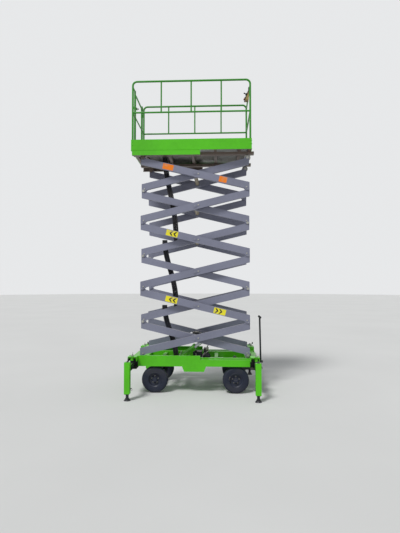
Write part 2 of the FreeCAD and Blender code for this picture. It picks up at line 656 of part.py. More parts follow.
def platform_frame():
    pieces = []
    t = PLATE_T
    x0, outer = PLAT_X0 + TOE_T + 2, PLAT_Y - TOE_T
    # the tracks reach the folded rollers or the platform's end, whichever is further
    track_end = max(FOLD_X + EYE_R, PLAT_X1 - TOE_T - 2)
    for side in (-1, 1):
        # the top rollers' track, a flanged edge band over the fixed pins' half, and the pins' ears
        pieces.append(square_tube(x0, track_end, side * BEAM_Y0, side * BEAM_Y1, TRACK_Z, JOIST_Z, t, "x"))
        edge, inside = side * PLAT_Y, side * (PLAT_Y - FLANGE_W)
        band_z = JOIST_Z - BAND_H
        pieces.append(box(PLAT_X0 + 16, STEP_X, edge, edge - side * t, band_z, JOIST_Z))
        pieces.append(box(PLAT_X0 + 16, STEP_X, edge, inside, band_z, band_z + t))
        pieces.append(box(PLAT_X0 + 16, STEP_X, edge, inside, JOIST_Z - t, JOIST_Z))
        eye, w = (PIN_X, TOP_Z), TUBE_W / 2
        left, right = (PIN_X - 70, JOIST_Z), (PIN_X + 70, JOIST_Z)
        ear = [left, tangent(eye, EYE_R, left, 1), eye, tangent(eye, EYE_R, right, -1), right]
        y = side * OUTER_Y
        for y0 in (y - w, y + w - EAR_T):
            pieces.append(plate_xz(ear, y0, y0 + EAR_T).fuse(disc(PIN_X, TOP_Z, EYE_R, y0, y0 + EAR_T)))
        pieces.append(disc(PIN_X, TOP_Z, PIN_R, y - w - 1, y + w + 1))
        pieces.append(disc(PIN_X, TOP_Z, HEAD_R, y - w - HEAD_T, y - w))
        pieces.append(disc(PIN_X, TOP_Z, HEAD_R, y + w, y + w + HEAD_T))
    # joists under the floor: one at each end, some between, and one over the fixed pins
    h = JOIST_W / 2
    end_in = TOE_T + JOIST_GAP + h
    stations = [PLAT_X0 + end_in, PIN_X, PLAT_X1 - end_in]
    stations += [PLAT_X0 + share * PLAT_L for share in (0.3, 0.5, 0.7, 0.9)]
    for x in stations:
        pieces.append(square_tube(x - h, x + h, -outer, outer, JOIST_Z, JOIST_Z + JOIST_H, TUBE_T, "y"))
    pieces.append(hose_clamp(PIN_X + HOSE_TOP, -BEAM_Y0, TRACK_Z))
    return fuse(pieces)


def platform_deck():
    y = PLAT_Y - TOE_T
    return box(PLAT_X0 + TOE_T, PLAT_X1 - TOE_T, -y, y, DECK_Z - DECK_T, DECK_Z)


def toe_boards():
    """A band round the platform, beaded at its foot and open at the gate."""
    z0, z1, t, bead = JOIST_Z, JOIST_Z + TOE_H, TOE_T, 3
    band = square_tube(PLAT_X0, PLAT_X1, -PLAT_Y, PLAT_Y, z0, z1, t, "z")
    foot = square_tube(PLAT_X0 - bead, PLAT_X1 + bead, -PLAT_Y - bead, PLAT_Y + bead, z0, z0 + 10, t, "z")
    way = box(PLAT_X0 - 9, PLAT_X0 + t + 1, LATCH_Y + RAIL_R, GATE_Y - RAIL_R, DECK_Z, z1 + 1)
    return fuse([band, foot]).cut(way)


def pipe(points, r, bend, closed=False):
    """A round tube through points, with every corner bent to one radius."""
    points = [V(*p) for p in points]
    n = len(points)
    edges, start, first = [], None, None
    corners = range(n) if closed else range(1, n - 1)
    if not closed:
        start = points[0]
    for i in corners:
        p, a, b = points[i], points[i - 1], points[(i + 1) % n]
        u, v = (a - p).normalize(), (b - p).normalize()
        p0, p1 = p + u * bend, p + v * bend
        mid = p + (u + v) * bend * (1 - math.sqrt(0.5))
        if start is not None:
            edges.append(Part.makeLine(start, p0))
        else:
            first = p0
        edges.append(Part.Arc(p0, mid, p1).toShape())
        start = p1
    edges.append(Part.makeLine(start, first if closed else points[-1]))
    path = Part.Wire(edges)
    head = edges[0]
    at = head.valueAt(head.FirstParameter)
    ring = Part.Wire([Part.makeCircle(r, at, head.tangentAt(head.FirstParameter))])
    return path.makePipeShell([ring], True, False)


def guard_rails():
    x0, x1, y, top = RAIL_X0, RAIL_X1, RAIL_Y, RAIL_Z
    mid_r, end_r, upright_r = RAIL_R - 2, RAIL_R - 3, STILE_R - 1
    low = END_RAIL_Z
    pieces = []
    for side in (-1, 1):
        hoop = [(x0, side * y, DECK_Z), (x0, side * y, top), (x1, side * y, top), (x1, side * y, DECK_Z)]
        pieces.append(pipe(hoop, RAIL_R, RAIL_BEND))
        pieces.append(rod((x0, side * y, MID_Z), (x1, side * y, MID_Z), mid_r))
        for share in (0.25, 0.5, 0.75):
            x = PLAT_X0 + share * PLAT_L
            pieces.append(rod((x, side * y, MID_Z), (x, side * y, top), upright_r))
    for z in (low, MID_Z):
        pieces.append(rod((x1, -y, z), (x1, y, z), end_r))
        pieces.append(rod((x0, -y, z), (x0, LATCH_Y, z), end_r))
        pieces.append(rod((x0, GATE_Y, z), (x0, y, z), end_r))
    for gate_post in (LATCH_Y, GATE_Y):
        pieces.append(post(x0, gate_post, RAIL_R, DECK_Z, low + RAIL_R))
    # the keeper that the gate shuts against
    pieces.append(box(x0 - RAIL_R - 6, x0 - STILE_R - 1, LATCH_Y, LATCH_Y + 44, MID_Z + 150, MID_Z + 190))
    return fuse(pieces)


def gate():
    """A framed gate on two hinge sleeves round its post, with its own toe plate."""
    x, top = RAIL_X0, END_RAIL_Z - 40
    y0, y1 = LATCH_Y + RAIL_R + 20, GATE_Y - RAIL_R - 20
    low = DECK_Z + 40
    frame = pipe([(x, y0, low), (x, y1, low), (x, y1, top), (x, y0, top)], STILE_R, 45, closed=True)
    pieces = [frame, rod((x, y0, MID_Z), (x, y1, MID_Z), STILE_R - 2),
              box(x - 2, x + 2, y0 + 3, y1 - 3, DECK_Z + 12, JOIST_Z + TOE_H - 6)]
    for z in (DECK_Z + 260, top - 160):
        pieces.append(post(x, GATE_Y, RAIL_R + 6, z, z + 50))
        pieces.append(box(x - 4, x + 4, y1, GATE_Y - RAIL_R - 2, z + 5, z + 45))
    return fuse(pieces).cut(post(x, GATE_Y, RAIL_R + FIT, DECK_Z + 200, top))


def control_box():
    """The upper controls, hooked over the front end rail."""
    r = RAIL_R - 3
    x1 = RAIL_X1 - r - 4
    x0, y0, z1 = x1 - BOX_D, -RAIL_Y + 90, END_RAIL_Z - 60
    y1 = y0 + BOX_W
    body = box(x0, x1, y0, y1, z1 - BOX_H, z1)
    edge = [e for e in body.Edges if abs(e.CenterOfMass.x - x0) < 1 and abs(e.CenterOfMass.z - z1) < 1]
    over = END_RAIL_Z + r
    pieces = [body.makeChamfer(25, edge),
              box(x1 - 5, x1, y0 + 25, y1 - 25, z1 - 30, over + 5),
              box(x1 - 5, RAIL_X1 + r + 5, y0 + 25, y1 - 25, over + SEAT_GAP, over + 5),
              rod((x0 + 32, y0 + 40, z1 - 5), (x0 + 26, y0 + 40, z1 + 45), 7),
              post(x0 + 50, y0 + 95, 18, z1 - 1, z1 + 16)]
    return fuse(pieces)


export("chassis_frame", chassis_frame())
export("end_beam_rear", end_beam(END_REAR_X, SIDE_X0, LEG_REAR_X))
export("end_beam_front", end_beam(SIDE_X1, END_FRONT_X, LEG_FRONT_X))
export("axle_rear", axle_rear())
export("axle_front", axle_front())
export("tow_bar", tow_bar())
export("power_unit", power_unit())
for end, wheel_x, leg_x in (("rear", REAR_X, LEG_REAR_X), ("front", FRONT_X, LEG_FRONT_X)):
    for side, word in ((-1, "near"), (1, "far")):
        export("tyre_%s_%s" % (end, word), tyre(wheel_x, side))
        export("rim_%s_%s" % (end, word), rim(wheel_x, side))
        export("outrigger_%s_%s" % (end, word), outrigger(leg_x, side))
        export("jack_%s_%s" % (end, word), jack(leg_x, side))
scissor()
export("roller_bottom", roller_pair(PIN_Z))
export("roller_top", roller_pair(TOP_Z))
barrels, rods = cylinders()
export("cylinder_barrels", barrels)
export("cylinder_rods", rods)
hose_packs()
export("platform_frame", platform_frame())
export("platform_deck", platform_deck())
export("toe_boards", toe_boards())
export("guard_rails", guard_rails())
export("gate", gate())
export("control_box", control_box())
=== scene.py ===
# %% [markdown]
# # A towable scissor lift
# The steel comes from the CAD frame at its true size, so nothing here is fitted or scaled.
# This lesson paints that steel, and adds what a CAD model leaves out: tread, hoses, fasteners and decals.

import math

import bmesh
import bpy
from mathutils import Matrix, Vector


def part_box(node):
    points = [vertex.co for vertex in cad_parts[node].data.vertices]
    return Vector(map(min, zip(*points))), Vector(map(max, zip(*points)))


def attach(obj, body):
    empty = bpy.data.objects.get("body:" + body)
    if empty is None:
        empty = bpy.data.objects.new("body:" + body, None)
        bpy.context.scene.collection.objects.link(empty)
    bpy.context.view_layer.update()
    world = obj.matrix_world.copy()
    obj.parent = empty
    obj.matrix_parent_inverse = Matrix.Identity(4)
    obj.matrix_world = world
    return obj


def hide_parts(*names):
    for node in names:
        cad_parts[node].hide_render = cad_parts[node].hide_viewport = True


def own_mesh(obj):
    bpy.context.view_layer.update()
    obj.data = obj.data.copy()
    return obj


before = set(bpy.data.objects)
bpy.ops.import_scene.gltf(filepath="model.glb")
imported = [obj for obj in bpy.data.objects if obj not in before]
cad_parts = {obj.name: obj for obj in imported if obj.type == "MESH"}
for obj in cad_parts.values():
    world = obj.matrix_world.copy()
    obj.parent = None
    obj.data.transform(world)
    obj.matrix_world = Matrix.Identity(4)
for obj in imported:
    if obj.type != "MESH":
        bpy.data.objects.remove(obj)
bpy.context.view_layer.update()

# %% [markdown]
# ## Places to work from
# A lift's arms repeat level by level. The middle of each level can be typed in, or read from the frame.
# Reading it keeps every added piece on the steel that carries it, so only the arm's own sizes are typed.

# %% Read the arms' places
LEVELS = 6
ARM_L, RISE, PIN_OFF = 1.932, 0.577, 0.065
TUBE_W, OUTER_Y, INNER_Y = 0.060, 0.470, 0.380
PIN_X, PIN_Z = -0.963, 0.632


def middle(node):
    low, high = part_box(node)
    return (low + high) / 2


arm_half = math.sqrt((ARM_L / 2) ** 2 - PIN_OFF**2)
arm_tilt = math.asin(RISE / ARM_L) - math.atan2(PIN_OFF, arm_half)
level_z = [PIN_Z + (level + 0.5) * RISE for level in range(LEVELS)]
mid_x = middle("arm_outer_1").x
print("arms lean", round(math.degrees(arm_tilt), 2), "degrees, crossing at x", round(mid_x, 3))


def along_arm(level, outer, run, off=0.0, y=0.0):
    """A point on an arm: run along it from its middle, off at right angles, level counted from 1."""
    rises = (level % 2 == 1) == outer
    tilt = arm_tilt if rises else -arm_tilt
    c, s = math.cos(tilt), math.sin(tilt)
    return Vector((mid_x + run * c - off * s, y, level_z[level - 1] + run * s + off * c))


# %% [markdown]
# ## The camera
# The photograph looks at the long side from standing height, nearly level, and tips up a little to take in
# the platform. A long lens would flatten the six levels, so the camera keeps the photograph's field of view.

# %% Place the camera
FOCAL_PX, PHOTO_H, SENSOR = 432.1, 533, 36
yaw, pitch = math.radians(-2.61), math.radians(1.97)
aim = Vector((math.sin(yaw) * math.cos(pitch), math.cos(yaw) * math.cos(pitch), math.sin(pitch)))
camera = bpy.data.objects.new("camera", bpy.data.cameras.new("camera"))
camera.data.sensor_width = SENSOR
camera.data.lens = SENSOR * FOCAL_PX / PHOTO_H
camera.location = (0.390, -7.979, 1.913)
camera.rotation_euler = aim.to_track_quat("-Z", "Y").to_euler()
camera.data.clip_end = 500
bpy.context.scene.collection.objects.link(camera)
bpy.context.scene.camera = camera
print("lens", round(camera.data.lens, 2), "mm on the frame's long side")

# %% [markdown]
# ## Numbers that change over a surface
# A material's maths can be wired node by node, or written as arithmetic. Arithmetic is easier to read and to
# change, so one small class turns Python's operators into Math nodes. A finish holds the tree they go in.

# %% Write the shader arithmetic


def both(operation):
    """A Math operator and its reflected form, for a number on either side of a Field."""
    return (lambda field, other: field.math(operation, field, other),
            lambda field, other: field.math(operation, other, field))


class Field:
    """A value that changes over the surface."""

    def __init__(self, finish, socket):
        self.finish, self.socket = finish, socket

    def math(self, operation, *values):
        return self.finish.add("ShaderNodeMath", {"operation": operation}, dict(enumerate(values)))

    __add__, __radd__ = both("ADD")
    __sub__, __rsub__ = both("SUBTRACT")
    __mul__, __rmul__ = both("MULTIPLY")
    __truediv__, __rtruediv__ = both("DIVIDE")
    __mod__, __rmod__ = both("FLOORED_MODULO")
    __gt__, __lt__ = both("GREATER_THAN")[0], both("LESS_THAN")[0]

    def __abs__(self):
        return self.math("ABSOLUTE", self)


class Tree:
    """The nodes of one material or sky. Every node comes from add()."""

    def __init__(self, owner):
        owner.use_nodes = True
        self.tree = owner.node_tree
        self.tree.nodes.clear()

    def add(self, kind, settings=None, sockets=None, out=0):
        node = self.tree.nodes.new(kind)
        for key, value in (settings or {}).items():
            if key == "stops":
                for element, (where, colour) in zip(node.color_ramp.elements, value):
                    element.position, element.color = where, colour
            else:
                setattr(node, key, value)
        for key, value in (sockets or {}).items():
            self.plug(node.inputs[key], value)
        return Field(self, node.outputs[out]) if node.outputs else None

    def plug(self, socket, value):
        if isinstance(value, Field):
            self.tree.links.new(socket, value.socket)
        elif socket.type == "RGBA" and len(value) == 3:
            socket.default_value = (*value, 1)
        else:
            socket.default_value = value


class Finish(Tree):
    """One material, with its shader and its place on the object."""

    def __init__(self, name, values=None):
        self.material = bpy.data.materials.new(name)
        super().__init__(self.material)
        self.shader = self.add("ShaderNodeBsdfPrincipled", None, values)
        self.add("ShaderNodeOutputMaterial", None, {"Surface": self.shader})
        self.place = self.add("ShaderNodeTexCoord", out="Object")

    def feed(self, **values):
        """Link what varies to the shader: base_color, roughness, metallic, normal and so on."""
        for key, value in values.items():
            name = key.replace("_", " ").title()
            self.plug(self.shader.socket.node.inputs[name], value)
        return self.material


# %% [markdown]
# ## Looks that every finish shares
# Real paint is never even: it fades in wide clouds, mottles in small ones and gets dusty where dust can lie.
# Image textures could hold that, but noise fields need no file and never repeat, so each look is a short
# function.

# %% Write the shared looks


def rgb(r, g, b):
    """A colour as read on screen, made linear."""
    return tuple((c / 255 / 12.92) if c <= 10 else ((c / 255 + 0.055) / 1.055) ** 2.4 for c in (r, g, b))


def shade(colour, amount):
    return tuple(min(1.0, c * amount) for c in colour)


def cloud(finish, size, detail=3.0, stretch=(1, 1, 1), rough=0.5):
    """Noise with features about one size in metres, drawn out along an axis by a small stretch there."""
    scaled = finish.add("ShaderNodeVectorMath", {"operation": "MULTIPLY"}, {0: finish.place, 1: stretch})
    values = {"Vector": scaled, "Scale": 0.6 / size, "Detail": detail, "Roughness": rough}
    return finish.add("ShaderNodeTexNoise", None, values)


def ease(finish, value, low, high):
    """0 below low, 1 above high, smooth between."""
    settings = {"interpolation_type": "SMOOTHSTEP"}
    return finish.add("ShaderNodeMapRange", settings, {"Value": value, "From Min": low, "From Max": high})


def blend_colour(finish, amount, first, second):
    settings = {"data_type": "RGBA", "clamp_factor": True}
    return finish.add("ShaderNodeMix", settings, {0: amount, 6: first, 7: second}, out=2)


def bump(finish, height, depth, normal=None):
    values = {"Height": height, "Distance": depth}
    if normal is not None:
        values["Normal"] = normal
    return finish.add("ShaderNodeBump", None, values)


def axes(finish, out="Object"):
    where = finish.add("ShaderNodeTexCoord", out=out)
    return [finish.add("ShaderNodeSeparateXYZ", None, {"Vector": where}, out=axis) for axis in "XYZ"]


# %% [markdown]
# ## Sprayed steel
# The arms, rails and chassis are sprayed with one thick gloss coat. It has an orange-peel skin, thin rubbed
# streaks, a few chips down to primer, and pale dust on whatever faces up. A piece in two colours could be cut
# in two, but a mask by position is simpler, so one function makes every coat. Some of these masks and colours
# are painted shade: a darker colour standing in for the shade a part lies in.

# %% Make the paints
DUST = rgb(176, 164, 146)


def paint(name, colour, dusty=0.5, rough=0.36, zones=(), chips=rgb(58, 52, 48)):
    """A sprayed coat. zones holds (mask function, colour) pairs, for what is sprayed another colour and for
    painted shade, where a darker colour stands in for shade.
    """
    finish = Finish(name, {"Specular IOR Level": 0.4, "Coat Roughness": 0.12, "Coat Weight": 0.08})
    wide, fine = cloud(finish, 0.5, 4), cloud(finish, 0.03, 5)
    tone = ease(finish, wide * 0.75 + fine * 0.25, 0.3, 0.7)
    base = blend_colour(finish, tone, shade(colour, 0.88), shade(colour, 1.1))
    for mask, other in zones:
        toned = blend_colour(finish, tone, shade(other, 0.8), shade(other, 1.12))
        base = blend_colour(finish, mask(finish), base, toned)
    rubbed = ease(finish, cloud(finish, 0.05, 4, (0.12, 1, 1)), 0.62, 0.72) * ease(finish, wide, 0.5, 0.65)
    base = blend_colour(finish, rubbed * 0.35, base, shade(DUST, 1.1))
    up = axes(finish, "Normal")[2]
    settled = ease(finish, up, 0.55, 0.95) * ease(finish, cloud(finish, 0.12, 5), 0.35, 0.65) * dusty
    base = blend_colour(finish, settled, base, DUST)
    cells = finish.add("ShaderNodeTexVoronoi", None, {"Vector": finish.place, "Scale": 38.0})
    chipped = (cells < 0.1) * (cloud(finish, 0.22, 2) > 0.64)
    base = blend_colour(finish, chipped, base, chips)
    roughness = rough + 0.14 * fine + 0.3 * settled + 0.25 * chipped
    skin = cloud(finish, 0.004, 2) * 0.7 - chipped * 2
    return finish.feed(base_color=base, roughness=roughness, normal=bump(finish, skin, 0.0004))


# Distances from the middle plane, or from an arm's crossing, where a colour changes.
ARM_GAP, HUB_X, SLEEVE_Y, TOE_GAP = 0.3445, 0.048, 0.983, 0.5715
HOUSING_Y, STRAP_Z = 0.50, 0.573


def inside(edge):
    """A mask function: 1 where a point is nearer the middle plane than edge."""
    return lambda finish: abs(axes(finish)[1]) < edge


def housing_in_painted_shade(finish):
    """1 on the end beams' hinge housings below the green strap, which are painted black as painted shade for
    the hollow under the strap.
    """
    _, y, z = axes(finish)
    return (abs(y) > HOUSING_Y) * (z < STRAP_Z)


def inboard(finish):
    """1 on what an inner pair carries between its arms, apart from its cross tube."""
    x, y, _ = axes(finish)
    return (abs(y) < ARM_GAP) * (abs(x - mid_x) > HUB_X)


def cross_tube(finish):
    x, y, _ = axes(finish)
    return (abs(y) < ARM_GAP) * (abs(x - mid_x) < HUB_X)


GREEN, ARM, TAN, BLACK = rgb(80, 186, 8), rgb(124, 126, 144), rgb(150, 136, 108), rgb(24, 28, 34)
RAIL_GREEN_WITH_PAINTED_SHADE, PRIMER_AND_SHADE_BROWN = rgb(50, 138, 30), rgb(112, 98, 90)
green_paint = paint("lime_green_paint", GREEN, dusty=0.2, rough=0.3)
# painted shade: the rails, the gate and the rail welds are sprayed in a darker copy of the chassis green,
# which stands in for the shade on them.
rail_paint_with_painted_shade = paint("rail_green_with_painted_shade", RAIL_GREEN_WITH_PAINTED_SHADE, dusty=0.1, rough=0.3)
# painted shade: the hinge housings under the end beams' green strap are black, standing in for the shade in
# that hollow.
beam_paint = paint("green_beam_with_painted_shade_under_strap", GREEN, 0.2, 0.3, [(housing_in_painted_shade, BLACK)])
arm_paint = paint("blue_grey_arm_paint", ARM, dusty=0.35, rough=0.42)
tube_paint = paint("blue_grey_arm_paint_with_tan_cross_tube", ARM, 0.35, 0.42, [(cross_tube, TAN)])
clamp_paint = paint("blue_grey_arm_paint_with_clamps", ARM, 0.35, 0.42, [(inboard, BLACK), (cross_tube, TAN)])
lug_paint = paint("blue_grey_arm_paint_with_black_lugs", ARM, 0.35, 0.42, [(inside(ARM_GAP), BLACK)])
black_paint = paint("black_axle_paint", BLACK, dusty=0.25, rough=0.45, chips=rgb(96, 88, 80))
# painted shade: each outrigger's swing arm, inboard of its green sleeve, is black, standing in for the shade
# on the arm under the end beam.
leg_paint = paint("green_sleeve_with_swing_arm_in_painted_shade", GREEN, 0.2, 0.3, [(inside(SLEEVE_Y), BLACK)])
# partly painted shade: inboard of the toe boards' outer faces the platform frame is primer brown, and the
# inner faces of its green side bands take that brown too, standing in for the shade on them.
under_paint = paint("platform_frame_green_primer_and_painted_shade", GREEN, 0.15, 0.4, [(inside(TOE_GAP), PRIMER_AND_SHADE_BROWN)])
rim_paint = paint("slate_rim_paint", rgb(30, 36, 54), dusty=0.1, rough=0.45)
print("paints:", len(bpy.data.materials))

# %% [markdown]
# ## Bare metals and rubber
# The pins are zinc plated, the rods are hard chrome, and the rollers run bright where they touch their
# tracks. Flat greys would look like paint, and metal is all reflection, so the looks of these come from small
# changes of roughness more than from colour.

# %% Make the metals, rubber and plastic


def metal(name, colour, low, high, stain=rgb(92, 84, 74), stained=0.25, grain=(1, 1, 1)):
    finish = Finish(name)
    patch, fine = cloud(finish, 0.06, 5), cloud(finish, 0.006, 3, grain)
    dirty = ease(finish, patch, 0.52, 0.72) * stained
    base = blend_colour(finish, dirty, colour, stain)
    roughness = low + (high - low) * fine + 0.4 * dirty
    return finish.feed(base_color=base, metallic=1 - dirty, roughness=roughness,
                       normal=bump(finish, fine, 0.0002))


zinc = metal("zinc_plate", rgb(176, 176, 170), 0.28, 0.5)
zinc_dark = metal("dull_zinc_plate", rgb(112, 112, 112), 0.4, 0.62, stained=0.5)
roller_steel = metal("rolled_bright_steel", rgb(150, 148, 144), 0.22, 0.42, grain=(1, 0.1, 1))
chrome = metal("hard_chrome_rod", rgb(214, 216, 220), 0.06, 0.14, stained=0.1)


def moulded(name, colour, dusty, low, high, grain=0.003, depth=0.0004):
    finish = Finish(name, {"Specular IOR Level": 0.35})
    fine, wide = cloud(finish, grain, 3), cloud(finish, 0.15, 5)
    dirt = ease(finish, wide, 0.42, 0.7) * dusty
    base = blend_colour(finish, dirt, colour, shade(DUST, 0.6))
    return finish.feed(base_color=base, roughness=low + (high - low) * wide + 0.2 * dirt,
                       normal=bump(finish, fine, depth))


# partly painted reflection: the tyres' near-black rubber is tinted blue, standing in for the sky's sheen on
# it.
tyre_rubber_with_painted_sheen = moulded("tyre_rubber_with_painted_sheen", rgb(27, 33, 50), 0.08, 0.5, 0.8)
hose_rubber = moulded("hose_rubber", rgb(26, 28, 36), 0.1, 0.5, 0.7)
black_plastic = moulded("black_plastic", rgb(28, 29, 32), 0.15, 0.35, 0.5, 0.0015, 0.0002)
grip_rubber = moulded("grip_rubber", rgb(24, 24, 26), 0.1, 0.6, 0.8)
red_plastic = moulded("red_plastic", rgb(186, 32, 26), 0.1, 0.3, 0.45, 0.0015, 0.0002)
green_plastic = moulded("green_lens_plastic", rgb(40, 140, 70), 0.05, 0.15, 0.3, 0.0015, 0.0002)
dial_white = moulded("dial_white", rgb(214, 212, 202), 0.1, 0.3, 0.5, 0.002, 0.0001)
brass = metal("brass_fittings", rgb(178, 146, 84), 0.24, 0.42)
panel_tan = paint("tan_box_paint", rgb(156, 132, 78), dusty=0.15)
print("finishes:", len(bpy.data.materials))

# %% [markdown]
# ## Tread plate
# The deck is aluminium tread plate: small raised lozenges that lean left and right by turns. They could be
# meshed, at a cost of many thousand faces. They are only 1.5 mm high, so a height field does the work.

# %% Make the tread plate


def tread_plate(spacing=0.038):
    finish = Finish("aluminium_tread_plate", {"Specular IOR Level": 0.5})
    x, y, _ = axes(finish)
    u, v = (x + y) / spacing, (x - y) / spacing
    height = 0
    for first, second, shift in ((u, v, 0.0), (v, u, 0.5)):
        long_way = abs((first + shift) % 1 - 0.5)
        cross_way = abs((second + shift) % 1 - 0.5)
        height = ease(finish, 0.42 - long_way - 2.6 * cross_way, 0.0, 0.16) + height
    wide, fine = cloud(finish, 0.3, 5), cloud(finish, 0.004, 3)
    trodden = ease(finish, wide, 0.4, 0.68)
    base = blend_colour(finish, trodden * 0.6, rgb(150, 150, 148), rgb(112, 104, 94))
    base = blend_colour(finish, height * 0.3, base, rgb(196, 196, 194))
    grain = bump(finish, fine, 0.0001)
    return finish.feed(base_color=base, metallic=0.9 - 0.5 * trodden, roughness=0.34 + 0.3 * trodden,
                       normal=bump(finish, height, 0.0015, grain))


deck_plate = tread_plate()

# %% [markdown]
# ## Painting the frame
# Every CAD node keeps its shape and only changes its finish. One table from name to finish is shorter than
# sixty lines, and a name that no row fits stops the script, so no node stays in its plain CAD colour.

# %% Paint every CAD node
FINISHES = [
    ("arm_outer", arm_paint), ("arm_inner_1", lug_paint), ("arm_inner_2", clamp_paint),
    ("arm_inner_4", clamp_paint), ("arm_inner", tube_paint), ("pins_outer", arm_paint), ("pins_", zinc),
    ("roller_", roller_steel), ("cylinder_barrels", green_paint), ("cylinder_rods", chrome),
    ("hoses_", hose_rubber), ("chassis_frame", green_paint), ("end_beam", beam_paint), ("axle_", black_paint),
    ("tow_bar", black_paint), ("tyre_", tyre_rubber_with_painted_sheen), ("rim_", rim_paint), ("outrigger_", leg_paint),
    ("jack_", black_paint), ("power_unit", black_paint), ("platform_frame", under_paint),
    ("platform_deck", deck_plate), ("toe_boards", green_paint), ("guard_rails", rail_paint_with_painted_shade),
    ("gate", rail_paint_with_painted_shade), ("control_box", black_plastic)]

for name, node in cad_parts.items():
    finish = next(finish for start, finish in FINISHES if name.startswith(start))
    for slot in node.material_slots:
        slot.material = finish
print("painted", len(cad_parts), "nodes")

# %% [markdown]
# ## Making pieces
# Added pieces are all built as meshes from a few simple moves: turn a section about an axis, sweep a ring
# along a line, or give a flat outline some thickness. Curve objects and modifiers could do the same, but
# plain mesh code says exactly what it makes. Each piece then rides on the body that carries it.

# %% Write the mesh helpers
UP, NEAR, FAR, FORE = Vector((0, 0, 1)), Vector((0, -1, 0)), Vector((0, 1, 0)), Vector((1, 0, 0))


def piece(name, mesh_parts, finishes, body, angle=35):
    """Join (bmesh, finish number) parts into one object that rides on a body."""
    mesh = bpy.data.meshes.new(name)
    whole = bmesh.new()
    for part, number in mesh_parts:
        for face in part.faces:
            face.material_index = number
        part.to_mesh(mesh)
        part.free()
        whole.from_mesh(mesh)
    bmesh.ops.recalc_face_normals(whole, faces=whole.faces)
    for face in whole.faces:
        face.smooth = True
    whole.to_mesh(mesh)
    whole.free()
    mesh.set_sharp_from_angle(angle=math.radians(angle))
    for finish in finishes:
        mesh.materials.append(finish)
    made = bpy.data.objects.new(name, mesh)
    bpy.context.scene.collection.objects.link(made)
    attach(made, body)
    return made


def frame_for(direction):
    """A rotation that turns +Z to a direction."""
    return Vector(direction).to_track_quat("Z", "Y").to_matrix().to_4x4()


def spoke(radius, degrees, flat=False):
    """A point on a circle about the origin, upright along the machine or flat on the ground."""
    a = math.radians(degrees)
    along, out = radius * math.cos(a), radius * math.sin(a)
    return Vector((along, out, 0)) if flat else Vector((along, 0, out))


def skin(made, rings, capped=False):
    """Faces between neighbouring rings of vertices, and over both ends where these are capped."""
    for first, second in zip(rings, rings[1:]):
        for i in range(len(first)):
            j = (i + 1) % len(first)
            made.faces.new((first[i], first[j], second[j], second[i]))
    if capped:
        made.faces.new(rings[0][::-1])
        made.faces.new(rings[-1])
    return made


def turned(section, at, direction, steps=32, ends=True):
    """A section of (radius, height) pairs, turned about a line from at along direction."""
    made = bmesh.new()
    place = Matrix.Translation(at) @ frame_for(direction)
    angles = [2 * math.pi * i / steps for i in range(steps)]
    rings = [[made.verts.new(place @ Vector((radius * math.cos(a), radius * math.sin(a), height)))
              for a in angles] for radius, height in section]
    return skin(made, rings, capped=ends)


def hex_head(at, direction, across, height, washer=True):
    """A bolt head or nut with its washer, standing on a face."""
    r = across / math.sqrt(3)
    made = turned([(r, 0), (r, height * 0.85), (r * 0.86, height)], at, direction, steps=6)
    if washer:
        ring = turned([(across * 0.95, 0), (across * 0.95, height * 0.18), (across * 0.9, height * 0.22)],
                      at, direction, steps=24)
        mesh = bpy.data.meshes.new("washer")
        ring.to_mesh(mesh)
        ring.free()
        made.from_mesh(mesh)
        bpy.data.meshes.remove(mesh)
    return made


def swept(points, radius, steps=12, profile=None):
    """A tube along a line of points; profile gives each point's share of the radius."""
    made = bmesh.new()
    points = [Vector(p) for p in points]
    angles = [2 * math.pi * k / steps for k in range(steps)]
    rings, side = [], None
    for i, at in enumerate(points):
        ahead = (points[min(i + 1, len(points) - 1)] - points[max(i - 1, 0)]).normalized()
        side = side or ahead.orthogonal().normalized()
        side = (side - ahead * side.dot(ahead)).normalized()
        up = ahead.cross(side)
        r = radius * (profile[i] if profile else 1)
        rings.append([made.verts.new(at + side * r * math.cos(a) + up * r * math.sin(a)) for a in angles])
    return skin(made, rings, capped=True)


def bead(at, axis, ring_radius, radius, steps=48):
    """A weld bead laid round a tube: a ring whose thickness ripples."""
    made = bmesh.new()
    place = Matrix.Translation(at) @ frame_for(axis)
    rings = []
    for i in range(steps):
        centre = spoke(ring_radius, 360 * i / steps, flat=True)
        out = centre.normalized()
        r = radius * (1.0 if i % 2 else 0.82)
        rings.append([made.verts.new(place @ (centre + out * r * math.cos(b) + UP * r * math.sin(b)))
                      for b in (2 * math.pi * k / 6 for k in range(6))])
    return skin(made, rings + rings[:1])


def plate(outline, thickness, at, across, up):
    """A flat outline of (across, up) pairs, given a thickness towards across x up."""
    made = bmesh.new()
    across, up = Vector(across).normalized(), Vector(up).normalized()
    face = made.faces.new([made.verts.new(Vector(at) + across * a + up * b) for a, b in outline])
    grown = bmesh.ops.extrude_face_region(made, geom=[face])
    moved = [v for v in grown["geom"] if isinstance(v, bmesh.types.BMVert)]
    bmesh.ops.translate(made, verts=moved, vec=across.cross(up) * thickness)
    return made


def rounded(width, height, r, steps=4):
    """The outline of a rectangle with round corners."""
    points = []
    for cx, cy, start in ((1, 1, 0), (-1, 1, 90), (-1, -1, 180), (1, -1, 270)):
        for i in range(steps + 1):
            a = math.radians(start + 90 * i / steps)
            points.append((cx * (width / 2 - r) + r * math.cos(a), cy * (height / 2 - r) + r * math.sin(a)))
    return points


def block(low, high, edge=0.003):
    """A box with rounded edges."""
    made = bmesh.new()
    low, high = Vector(low), Vector(high)
    bmesh.ops.create_cube(made, size=1)
    bmesh.ops.scale(made, vec=high - low, verts=made.verts)
    bmesh.ops.translate(made, vec=(low + high) / 2, verts=made.verts)
    bmesh.ops.bevel(made, geom=made.edges[:], offset=edge, segments=2, affect="EDGES", profile=0.5)
    return made


